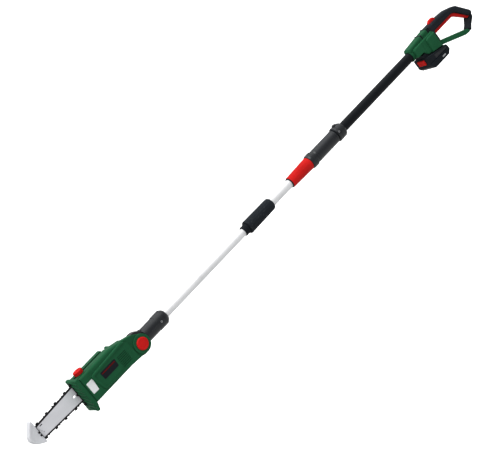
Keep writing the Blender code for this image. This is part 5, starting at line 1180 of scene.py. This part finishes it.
class SAW_OT_bumper(Operator):
    """The ribbed front bumper with its steel spikes"""

    bl_idname = "saw.bumper"
    bl_label = "Bumper and spikes"

    def execute(self, context):
        sizes = context.scene.saw_sizes
        front = BUMPER_FRONT_X
        back = front - 13 * MM
        low_y, high_y = -34 * MM, 35 * MM
        corners = [(back, -26.5 * MM, 1 * MM), (front - 6 * MM, -46 * MM, 3 * MM), (front, -46 * MM, 3 * MM)]
        corners += [(front, 68 * MM, 4 * MM), (back + 2 * MM, 68 * MM, 3 * MM), (back, 64 * MM, 1 * MM)]
        bumper = slab("front_bumper", corners, low_y, high_y, 3 * MM, 3 * MM)
        hollow = block("hollow", (back - MM, -31.5 * MM, -22.5 * MM), (front - 2.5 * MM, 32.5 * MM, 61 * MM))
        carve(bumper, hollow)
        rib = rod("rib", -8 * MM, 32 * MM, 2.9 * MM, (0, 0, 0), "Y", 1.8 * MM, steps=24)
        rib.data.transform(Matrix.Rotation(math.radians(-14), 4, "X"))
        step = 112 * MM / sizes.bumper_ribs
        ribs = row("ribs", rib, sizes.bumper_ribs, step=(0, 0, step), centre=(front - 0.4 * MM, 0, -36 * MM))
        fuse(bumper, ribs)
        slot = block("slot", (back - MM, BAR_Y - 5.5 * MM, BAR_Z - 38 * MM),
                     (front + 5 * MM, BAR_Y + 5.5 * MM, BAR_Z + 38 * MM))
        carve(bumper, slot)
        dress(bumper, "green_body", "head", "bumper")
        self.make_spikes(front)
        return {"FINISHED"}

    def make_spikes(self, front):
        low = front + GAP
        outline = [(low, -26 * MM), (low + 2.5 * MM, -26 * MM, 0.6 * MM)]
        for z in (-15, 20, 55):
            outline += [(low + 2.5 * MM, (z - 6) * MM, 1 * MM), (low + 9 * MM, (z + 0.5) * MM, 0.5 * MM)]
            outline += [(low + 2.5 * MM, (z + 5) * MM, 1 * MM)]
        outline += [(low + 2.5 * MM, 62 * MM, 0.6 * MM), (low, 62 * MM)]
        spikes = slab("bumper_spike_plate", outline, -11 * MM, -8.5 * MM, 0.3 * MM, 0.3 * MM)
        dress(spikes, "chain_black", "head", "bumper_spikes")


class SAW_OT_sprocket_cover(Operator):
    """The cover over the drive sprocket with its clamp knob"""

    bl_idname = "saw.sprocket_cover"
    bl_label = "Sprocket cover and clamp knob"

    def execute(self, context):
        back, side, inner = 95.3, -34 * MM, -12.3 * MM
        cover = slab("drive_cover", head_side(back, 219), side, inner, 3 * MM, 0, steps=6)
        carve(cover, slab("hollow", head_side(back + 2.5, 216.5, 2.5, lead=4), side + 2.5 * MM, -11 * MM))
        dish = from_pivot((104, -14, 5), (150, -14, 5), (160, 8, 8), (160, 32, 8), (150, 54, 5), (104, 54, 5))
        carve(cover, slab("dish", dish, side - MM, side + 0.9 * MM, 0, 0.5 * MM))
        front_y = BAR_Y - 2.5 * MM
        pad_low = (STUD_X - 15 * MM, side + MM, BAR_Z - 12 * MM)
        fuse(cover, block("pad", pad_low, (STUD_X + 15 * MM, front_y, BAR_Z + 12 * MM)))
        rib = slab("rib", oblong(0, 30 * MM, 0, 2.4 * MM, 1 * MM), side + 0.2 * MM, side + 1.2 * MM, 0.4 * MM)
        fuse(cover, row("ribs", rib, 6, step=(0, 0, 8 * MM), centre=at_pivot(112, -1)))
        carve(cover, rod("stud", -36 * MM, -11 * MM, 4.3 * MM, (STUD_X, 0, BAR_Z), "Y"))
        dress(cover, "green_body", "head", "sprocket_cover")
        self.make_knob()
        self.make_stud()
        return {"FINISHED"}

    def make_knob(self):
        low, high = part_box("clamp_knob")
        bore = 4.1 * MM
        outer = [(high.y, 19.2 * MM, 0), (high.y - 1 * MM, 20.8 * MM, 0.4 * MM),
                 (high.y - 3 * MM, 21 * MM, 1.6 * MM)]
        outer += [(low.y + 2.6 * MM, 21 * MM, 1.6 * MM), (low.y + 1 * MM, 20 * MM, 1 * MM),
                  (low.y + 0.3 * MM, 18.6 * MM, 0.3 * MM)]
        outer += [(low.y, 17 * MM, 0), (low.y, 9 * MM, 0), (low.y + 1.6 * MM, 8 * MM, 0),
                  (low.y + 1.6 * MM, bore, 0)]
        place = (STUD_X, 0, BAR_Z)
        knob = fluted("clamp_knob_grip", outer, [(high.y, bore)], 9, place, "Y", sharpness=2, points=16)
        dress(knob, "black_plastic", "clamp_knob", "clamp_knob")

    def make_stud(self):
        low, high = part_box("bar_stud")
        thread_end = low.y + 14 * MM
        profile = [(low.y, 0), (low.y, 3.4 * MM, 0.2 * MM), (low.y + 0.8 * MM, 4 * MM, 0.2 * MM)]
        y = low.y + 1.2 * MM
        while y < thread_end:
            profile += [(y, 4 * MM), (y + 0.6 * MM, 3.45 * MM), (y + 1.2 * MM, 4 * MM)]
            y += 1.25 * MM
        shoulder = high.y - 2.8 * MM
        profile += [(shoulder, 4 * MM), (shoulder, 7 * MM, 0.3 * MM), (high.y, 7 * MM, 0.3 * MM), (high.y, 0)]
        stud = lathe("bar_stud_threaded", profile, (STUD_X, 0, BAR_Z), "Y", 48, 1)
        dress(stud, "machine_steel", "head", "bar_stud")


class SAW_OT_tilt_joint(Operator):
    """The pin, the red release button and the oil cap"""

    bl_idname = "saw.tilt_joint"
    bl_label = "Tilt joint and oil cap"

    def execute(self, context):
        self.make_button()
        self.make_pin()
        self.make_cap(context.scene.saw_sizes)
        return {"FINISHED"}

    def make_button(self):
        low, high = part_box("pivot_button")
        radius = high.z
        profile = [(low.y, 0), (low.y, radius, 0.5 * MM), (high.y - 3 * MM, radius, 1.2 * MM)]
        profile += [(high.y - 0.9 * MM, radius - 2 * MM, 1.6 * MM),
                    (high.y - 0.2 * MM, radius - 4 * MM, 0.6 * MM)]
        profile += [(high.y - 0.9 * MM, radius - 5.2 * MM, 0.6 * MM),
                    (high.y - 0.8 * MM, radius - 9 * MM, 4 * MM)]
        profile += [(high.y - 0.1 * MM, 0)]
        button = lathe("tilt_release_button", profile, at_pivot(0, 0), "Y", 120, 6)
        dress(button, "red_plastic", "pivot_button", "pivot_button", sharp=40)

    def make_pin(self):
        low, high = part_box("pivot_pin")
        radius = 6 * MM
        profile = [(low.y, 0), (low.y, 11 * MM, 0.8 * MM), (low.y + 3.2 * MM, 11 * MM, 0.3 * MM)]
        profile += [(low.y + 3.2 * MM, radius), (high.y, radius, 0.6 * MM), (high.y, 0)]
        pin = lathe("tilt_pin", profile, at_pivot(0, 0), "Y", 72)
        hexagon = [(PIVOT_X + 5 * MM * math.cos(a), 5 * MM * math.sin(a))
                   for a in (k * math.pi / 3 for k in range(6))]
        carve(pin, slab("socket", hexagon, low.y - MM, low.y + 2 * MM))
        dress(pin, "fitting_zinc", "head", "pivot_pin")

    def make_cap(self, sizes):
        low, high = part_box("oil_cap")
        centre = ((low.x + high.x) / 2, (low.y + high.y) / 2, 0)
        seat, bore = low.z + 3.7 * MM, 6.4 * MM
        outer = [(low.z, 14 * MM, 0), (low.z + 0.8 * MM, 15 * MM, 0), (low.z + 2 * MM, 15.1 * MM, 0)]
        outer += [(low.z + 2.8 * MM, 15.2 * MM, 0.7 * MM), (high.z - 2.6 * MM, 15.5 * MM, 0.7 * MM)]
        outer += [(high.z - 1.6 * MM, 15.3 * MM, 0.3 * MM), (high.z - 0.6 * MM, 14.7 * MM, 0),
                  (high.z, 13.4 * MM, 0)]
        outer += [(high.z, 11.6 * MM, 0), (high.z - 0.9 * MM, 10.8 * MM, 0), (high.z - 0.9 * MM, 0.4 * MM, 0)]
        inner = [(seat, 0.4 * MM), (seat, bore), (low.z, bore)]
        cap = fluted("oil_cap_moulding", outer, inner, sizes.cap_notches, centre, "Z", sharpness=2, points=10)
        plug = rod("plug", seat + 0.5 * MM, high.z - 1.2 * MM, 0.8 * MM, centre, "Z")
        fuse(cap, plug)
        wing = block("wing", (-9 * MM, -1.6 * MM, high.z - 2 * MM), (9 * MM, 1.6 * MM, high.z - 0.1 * MM),
                     0.7 * MM)
        wing.data.transform(Matrix.Translation(centre))
        dress(fuse(cap, wing), "red_plastic", "oil_cap", "oil_cap")


class SAW_OT_oil_tank(Operator):
    """The white oil tank whose window shows on the head's left side"""

    bl_idname = "saw.oil_tank"
    bl_label = "Oil tank"

    def execute(self, context):
        low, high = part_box("oil_tank")
        left = 30.2 * MM
        tank_top = 57.5 * MM
        tank = block("oil_tank_body", low, (high.x, left, tank_top), 3 * MM)
        window = slab("window", drawn_in(from_pivot(*WINDOW_CORNERS), GAP), left - MM, high.y, 0, 0.8 * MM)
        place = (PIVOT_X + 193 * MM, -3 * MM, 0)
        neck = rod("neck", tank_top - 3 * MM, high.z, 6 * MM, place, "Z", 0.4 * MM)
        fuse(tank, window, neck)
        inside = block("inside", low + Vector((2.5, 2.5, 2.5)) * MM,
                       (high.x - 2.5 * MM, left - 2.5 * MM, tank_top - 2.5 * MM), 2 * MM)
        throat = rod("throat", tank_top - 6 * MM, high.z + MM, 4 * MM, place, "Z")
        carve(tank, inside, throat)
        dress(tank, "tank_white", "head", "oil_tank")
        return {"FINISHED"}


# Bar, chain and nose guard


def tangent_outline(grow=0.0):
    """The round-nosed bar's outline, grown by a distance, as points in X and Z."""
    tail_x = PIVOT_X + 175 * MM
    centres = [(tail_x, BAR_Z - 11 * MM, 12 * MM), (tail_x, BAR_Z + 11 * MM, 12 * MM),
               (NOSE_X, BAR_Z, 18.5 * MM)]
    points = []
    for x, z, radius in centres:
        points += [(x + (radius + grow) * math.cos(a), z + (radius + grow) * math.sin(a))
                   for a in (math.pi * k / 36 for k in range(72))]
    points += [(BUMPER_FRONT_X + 3 * MM, BAR_Z + side * (24.5 * MM + grow)) for side in (-1, 1)]
    if grow > 0:
        points += [(SPINDLE_X + (17.6 * MM + grow) * math.cos(a), BAR_Z + (17.6 * MM + grow) * math.sin(a))
                   for a in (math.pi * k / 24 for k in range(48))]
    return hull(points)


def hull(points):
    """The convex outline round a set of points, anticlockwise."""
    places = sorted({(round(u, 7), round(v, 7)) for u, v in points})
    sides = []
    for run in (places, places[::-1]):
        side = []
        for u, v in run:
            while len(side) > 1:
                (au, av), (bu, bv) = side[-2], side[-1]
                if (bu - au) * (v - av) - (bv - av) * (u - au) > 0:
                    break
                side.pop()
            side.append((u, v))
        sides += side[:-1]
    return sides


def flat_plate(name, outline, low, high):
    rings = [[Vector((u, level, v)) for u, v in outline] for level in (low, high)]
    return loft(name, rings)


class SAW_OT_guide_bar(Operator):
    """The painted guide bar with its slots, rivets and a plain dash near the nose"""

    bl_idname = "saw.guide_bar"
    bl_label = "Guide bar"

    def execute(self, context):
        low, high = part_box("guide_bar")
        bar = soften(flat_plate("guide_bar_painted", tangent_outline(), low.y, high.y), 0.35 * MM, 60)
        x, z = BUMPER_FRONT_X, BAR_Z
        cuts = [
            slab("window", oblong(x + 7 * MM, x + 17 * MM, z - 3 * MM, z + 3 * MM, 2.5 * MM), -25 * MM,
                 -10 * MM),
            slab("slot", oblong(STUD_X - 14 * MM, STUD_X + 8 * MM, z - 4.4 * MM, z + 4.4 * MM, 4 * MM),
                 -25 * MM, -10 * MM),
            rod("pocket", BAR_Y - 1.3 * MM, BAR_Y + 1.3 * MM, 19.5 * MM, (NOSE_X, 0, z), "Y",
                bore=10.2 * MM, steps=72),
        ]
        for side in (-1, 1):
            cuts.append(rod("hole", -25 * MM, -10 * MM, 2 * MM, (NOSE_X + 7 * MM, 0, z + side * 5 * MM), "Y"))
        dress(carve(bar, *cuts), "bar_grey", "head", "guide_bar", sharp=25)
        for name, face, out in (("left", high.y, 1), ("right", low.y, -1)):
            levels = sorted((face - out * 0.05 * MM, face + out * 0.12 * MM))
            dash = slab("bar_dash_" + name, oblong(NOSE_X - 19 * MM, NOSE_X - 9 * MM, z + 13 * MM,
                                                   z + 15.4 * MM, 0.8 * MM), *levels)
            dress(dash, "black_plastic", "head")
            rivet = rod("rivet", *sorted((face - out * 0.2 * MM, face + out * 0.35 * MM)), 1.7 * MM,
                        (0, 0, 0), "Y", 0.3 * MM)
            rivets = row("bar_rivets_" + name, rivet, 3, step=(-3.6 * MM, 0, -6 * MM),
                         centre=(NOSE_X - 2 * MM, 0, z + 6 * MM), slot="fitting_zinc")
            dress(rivets, "fitting_zinc", "head")
        return {"FINISHED"}


class SAW_OT_chain(Operator):
    """The saw chain: drive links, side straps and cutters set round the bar"""

    bl_idname = "saw.chain"
    bl_label = "Saw chain"

    def execute(self, context):
        places = context.scene.saw_sizes.chain_places
        outline = tangent_outline(2.5 * MM)
        curve = bpy.data.curves.new("chain_path", "CURVE")
        curve.dimensions = "3D"
        spline = curve.splines.new("POLY")
        spline.points.add(len(outline) - 1)
        for point, (u, v) in zip(spline.points, reversed(outline)):
            point.co = (u, BAR_Y, v, 1)
        spline.use_cyclic_u = True
        path = bpy.data.objects.new("chain_path", curve)
        bpy.context.scene.collection.objects.link(path)
        length = sum((Vector(b) - Vector(a)).length for a, b in zip(outline, outline[1:] + outline[:1]))
        pitch = length / places
        units = [
            (self.strap(pitch), 1, 0),
            (self.drive_link(pitch), 2, 1),
            (self.cutter(pitch, 1), 8, 0),
            (self.cutter(pitch, -1), 8, 4),
        ]
        chain = None
        for unit, every, offset in units:
            links = grown("links", chain_tree, "chain_black", Path=path, Unit=unit, Places=places,
                          Every=every, Offset=offset)
            bpy.data.objects.remove(unit)
            chain = joined(chain, links) if chain else links
        bpy.data.objects.remove(path)
        chain.name = "saw_chain_links"
        dress(chain, "chain_black", "head", "saw_chain", sharp=30)
        return {"FINISHED"}

    def strap(self, pitch):
        """A pair of side straps with their rivet, centred on one place."""
        half, rise = pitch * 0.66, 2.5 * MM
        outline = [(-half, -rise, 2 * MM), (half, -rise, 2 * MM), (half, rise, 1.6 * MM),
                   (0, rise - 0.7 * MM, 2 * MM), (-half, rise, 1.6 * MM)]
        right = slab("strap", outline, -2.4 * MM, -1.5 * MM, 0.15 * MM, 0.15 * MM, steps=1)
        left = slab("strap", outline, 1.5 * MM, 2.4 * MM, 0.15 * MM, 0.15 * MM, steps=1)
        rivet = rod("rivet", -2.6 * MM, 2.6 * MM, 1.2 * MM, (0, 0, 0), "Y", steps=12)
        return joined(joined(right, left), rivet)

    def drive_link(self, pitch):
        half = pitch * 0.6
        outline = [(-half, -2 * MM, 1 * MM), (half, -2 * MM, 1 * MM), (half, 2 * MM, 1.5 * MM),
                   (-half, 2 * MM, 1.5 * MM)]
        return slab("drive_link", outline, -0.7 * MM, 0.7 * MM, 0, 0, steps=1)

    def cutter(self, pitch, side):
        """A cutting tooth with its depth gauge in front and its top plate turned in over the chain."""
        pitch = 0.78 * pitch
        outline = [(-1.1 * pitch, 1 * MM), (1.25 * pitch, 1 * MM), (1.3 * pitch, 4.6 * MM, 1 * MM),
                   (0.95 * pitch, 5 * MM, 1 * MM)]
        outline += [(0.5 * pitch, 2 * MM, 1.2 * MM), (0.1 * pitch, 2.4 * MM, 1 * MM),
                    (-0.1 * pitch, 6.3 * MM, 0.3 * MM), (-1.15 * pitch, 5.4 * MM, 0.6 * MM)]
        levels = sorted((side * 1.4 * MM, side * 2.5 * MM))
        tooth = slab("tooth", outline, *levels, 0, 0, steps=1)
        top = slab("top", [(-1.12 * pitch, 4.9 * MM), (-0.12 * pitch, 5.4 * MM), (-0.08 * pitch, 6.4 * MM),
                           (-1.15 * pitch, 5.8 * MM)],
                   *sorted((-side * 1.6 * MM, side * 2.5 * MM)), 0, 0, steps=1)
        return joined(tooth, top)


def joined(first, second):
    """Two meshes in one object, each still closed."""
    shape = bmesh.new()
    shape.from_mesh(first.data)
    shape.from_mesh(second.data)
    shape.to_mesh(first.data)
    shape.free()
    bpy.data.objects.remove(second)
    return first


class SAW_OT_nose_guard(Operator):
    """The grey guard over the bar's nose with its two screws, and a painted shadow line along its rear edge"""

    bl_idname = "saw.nose_guard"
    bl_label = "Nose guard"

    def execute(self, context):
        low, high = -30 * MM, -7 * MM
        guard = slab("nose_guard_moulding", self.outline(), low, high, 2.5 * MM, 2.5 * MM)
        carve(guard, slab("hollow", self.outline(2.5, 2), low + 2.5 * MM, high - 2.5 * MM))
        for level, depth in ((high, 0.9), (low, -0.9)):
            levels = sorted((level - depth * MM, level + depth * 2 * MM))
            carve(guard, slab("band", self.outline(9, -6), *levels))
            centre = (NOSE_X + GUARD_REAR, 0, BAR_Z)
            carve(guard, rod("arc", *levels, 15.4 * MM, centre, "Y", bore=14.6 * MM, steps=64))
        for side in (-1, 1):
            place = (NOSE_X + 7 * MM, 0, BAR_Z + side * 5 * MM)
            bosses = [
                rod("boss", low + MM, BAR_Y - 2.5 * MM, 3.1 * MM, place, "Y"),
                rod("boss", BAR_Y + 2.5 * MM, high - MM, 3.1 * MM, place, "Y"),
            ]
            fuse(guard, *bosses)
            carve(guard, rod("hole", low - MM, high + MM, 2 * MM, place, "Y"))
        dress(guard, "guard_grey", "head", "nose_guard")
        # A thin black strip on each face along the guard's rear edge: painted shadow of the gap between guard and
        # bar.
        for word, face in (("left", high), ("right", low)):
            edge = oblong(NOSE_X + 3.2 * MM, NOSE_X + 4.6 * MM, BAR_Z - 21 * MM, BAR_Z + 23 * MM, 0.3 * MM)
            out = math.copysign(MM, face - BAR_Y)
            levels = sorted((face - 0.9 * out, face + 0.2 * out))
            dress(slab("guard_edge_line_" + word, edge, *levels), "black_plastic", "head")
        for node in ("guard_screw_upper", "guard_screw_lower"):
            self.make_screw(node)
        return {"FINISHED"}

    def outline(self, depth=0.0, rear=0.0):
        """The guard's side outline: a flat back, a straight upper front and a round lower front."""
        i = depth
        corners = [(-rear, -30.5 + i, 1), (5, -31 + i, 4), (29 - i, -17, 20), (39.5 - i, 0, 16),
                   (35.5 - i, 15, 12)]
        corners += [(6, 46.5 - i * 1.3, 4), (-rear, 45.5 - i * 1.3, 1)]
        return [(NOSE_X + GUARD_REAR + x * MM, BAR_Z + z * MM, r * MM) for x, z, r in corners]

    def make_screw(self, node):
        low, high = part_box(node)
        place = ((low.x + high.x) / 2, 0, (low.z + high.z) / 2)
        face = high.y - 1.5 * MM
        profile = [(low.y, 0), (low.y, 1.7 * MM, 0.3 * MM), (face, 1.7 * MM), (face, 3.2 * MM, 0.3 * MM)]
        profile += [(high.y, 3.2 * MM, 0.7 * MM), (high.y, 0)]
        screw = lathe(node + "_cap", profile, place, "Y", 40)
        x, z = place[0], place[2]
        for half_u, half_v in ((1.9, 0.35), (0.35, 1.9)):
            cross = oblong(x - half_u * MM, x + half_u * MM, z - half_v * MM, z + half_v * MM)
            carve(screw, slab("cross", cross, high.y - 0.9 * MM, high.y + MM))
        dress(screw, "chain_black", "head", node)


class SAW_OT_inner_pieces(Operator):
    """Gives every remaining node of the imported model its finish"""

    bl_idname = "saw.inner_pieces"
    bl_label = "Inner pieces"

    def execute(self, context):
        slots = {part["node"]: part["material_slot"] for part in frame["record"]["subparts"]}
        for node, piece in frame["nodes"].items():
            if piece.hide_render:
                continue
            finish = bpy.data.materials[slots[node]]
            for held in piece.material_slots:
                held.material = finish
        return {"FINISHED"}


# Stage

SKY = ((-1.0, 0.95), (-0.35, 0.8), (-0.1, 0.6), (0.3, 0.62), (0.6, 0.85), (0.86, 1.9), (1.0, 2.2))
BRIGHTEST_SKY = 2.2


class SAW_OT_stage(Operator):
    """A pale floor, soft studio light and the camera"""

    bl_idname = "saw.stage"
    bl_label = "Stage"

    def execute(self, context):
        scene = context.scene
        scene.view_settings.view_transform = "Standard"
        scene.view_settings.gamma = 0.85
        self.make_floor()
        self.make_lights(scene)
        self.make_camera(scene)
        return {"FINISHED"}

    def make_floor(self):
        """A round floor far under the saw."""
        shape = bmesh.new()
        bmesh.ops.create_circle(shape, cap_ends=True, radius=60, segments=96)
        shape.transform(Matrix.Translation((0, 0, -0.9)))
        mesh = bpy.data.meshes.new("floor")
        shape.to_mesh(mesh)
        shape.free()
        floor = bpy.data.objects.new("floor", mesh)
        bpy.context.scene.collection.objects.link(floor)
        pale = Shading("floor_pale", (0.93, 0.93, 0.93), 0.9)
        pale.shader.inputs["Specular IOR Level"].default_value = 0.0
        floor.data.materials.append(pale.material)
        floor.visible_glossy = False
        floor.visible_diffuse = False

    def make_lights(self, scene):
        """A sky that is brighter overhead than at the horizon, and two wide, soft suns."""
        world = bpy.data.worlds.new("soft_studio")
        world.use_nodes = True
        tree = world.node_tree
        place, split = tree.nodes.new("ShaderNodeTexCoord"), tree.nodes.new("ShaderNodeSeparateXYZ")
        height, ramp = tree.nodes.new("ShaderNodeMapRange"), tree.nodes.new("ShaderNodeFloatCurve")
        bright, background = tree.nodes.new("ShaderNodeMath"), tree.nodes["Background"]
        height.inputs["From Min"].default_value = -1.0
        curve = ramp.mapping.curves[0]
        for point, (z, light) in zip(curve.points, (SKY[0], SKY[-1])):
            point.location = ((z + 1) / 2, light / BRIGHTEST_SKY)
        for z, light in SKY[1:-1]:
            curve.points.new((z + 1) / 2, light / BRIGHTEST_SKY)
        ramp.mapping.update()
        bright.operation = "MULTIPLY"
        bright.inputs[1].default_value = BRIGHTEST_SKY
        background.inputs["Color"].default_value = (1, 1, 1, 1)
        tree.links.new(place.outputs["Generated"], split.inputs[0])
        tree.links.new(split.outputs["Z"], height.inputs["Value"])
        tree.links.new(height.outputs[0], ramp.inputs["Value"])
        tree.links.new(ramp.outputs[0], bright.inputs[0])
        tree.links.new(bright.outputs[0], background.inputs["Strength"])
        scene.world = world
        for name, heading, strength, spread in (
            ("overhead", (-0.15, -0.35, -1), 0.8, 40),
            ("front_left", (-0.9, -0.8, -0.9), 0.3, 30),
        ):
            light = bpy.data.lights.new(name, "SUN")
            light.energy = strength
            light.angle = math.radians(spread)
            lamp = bpy.data.objects.new(name, light)
            lamp.location = (0, 0, 3)
            lamp.rotation_euler = Vector(heading).to_track_quat("-Z", "Y").to_euler()
            scene.collection.objects.link(lamp)

    def make_camera(self, scene):
        lens = bpy.data.cameras.new("camera")
        lens.lens = 134.5
        lens.sensor_width = 36
        lens.clip_end = 200
        camera = bpy.data.objects.new("camera", lens)
        place, aim = Vector((2.841, 4.85, 1.576)), Vector((0.375, 0, 0))
        turn = (aim - place).to_track_quat("-Z", "Y").to_matrix().to_4x4()
        camera.matrix_world = Matrix.Translation(place) @ turn @ Matrix.Rotation(math.radians(-38.37), 4, "Z")
        scene.collection.objects.link(camera)
        scene.camera = camera


STEPS = (
    SAW_OT_handle_tube,
    SAW_OT_coupling_nut,
    SAW_OT_pole,
    SAW_OT_adapter,
    SAW_OT_handle,
    SAW_OT_trigger,
    SAW_OT_battery,
    SAW_OT_head_shells,
    SAW_OT_motor_panel,
    SAW_OT_bumper,
    SAW_OT_sprocket_cover,
    SAW_OT_tilt_joint,
    SAW_OT_oil_tank,
    SAW_OT_guide_bar,
    SAW_OT_chain,
    SAW_OT_nose_guard,
    SAW_OT_inner_pieces,
    SAW_OT_stage,
)


class SAW_OT_materials(Operator):
    """The finishes that the pieces take"""

    bl_idname = "saw.materials"
    bl_label = "Materials"

    def execute(self, context):
        make_materials(context.scene.saw_colours)
        return {"FINISHED"}


class SAW_PT_panel(Panel):
    """The saw's sizes and colours, and one button for each step"""

    bl_label = "Pole Saw"
    bl_idname = "SAW_PT_panel"
    bl_space_type = "VIEW_3D"
    bl_region_type = "UI"
    bl_category = "Pole Saw"

    def draw(self, context):
        for group in (context.scene.saw_sizes, context.scene.saw_colours):
            box = self.layout.box()
            for name in group.__annotations__:
                box.prop(group, name)
        column = self.layout.column(align=True)
        column.operator(SAW_OT_materials.bl_idname)
        for step in STEPS:
            column.operator(step.bl_idname)


CLASSES = (SawColours, SawSizes, SAW_OT_materials, *STEPS, SAW_PT_panel)


def register():
    for cls in CLASSES:
        bpy.utils.register_class(cls)
    bpy.types.Scene.saw_colours = PointerProperty(type=SawColours)
    bpy.types.Scene.saw_sizes = PointerProperty(type=SawSizes)


def unregister():
    del bpy.types.Scene.saw_sizes
    del bpy.types.Scene.saw_colours
    for cls in reversed(CLASSES):
        bpy.utils.unregister_class(cls)


def main():
    register()
    bpy.ops.saw.materials()
    for step in STEPS:
        getattr(bpy.ops.saw, step.bl_idname.split(".")[1])()


if __name__ == "__main__":
    main()
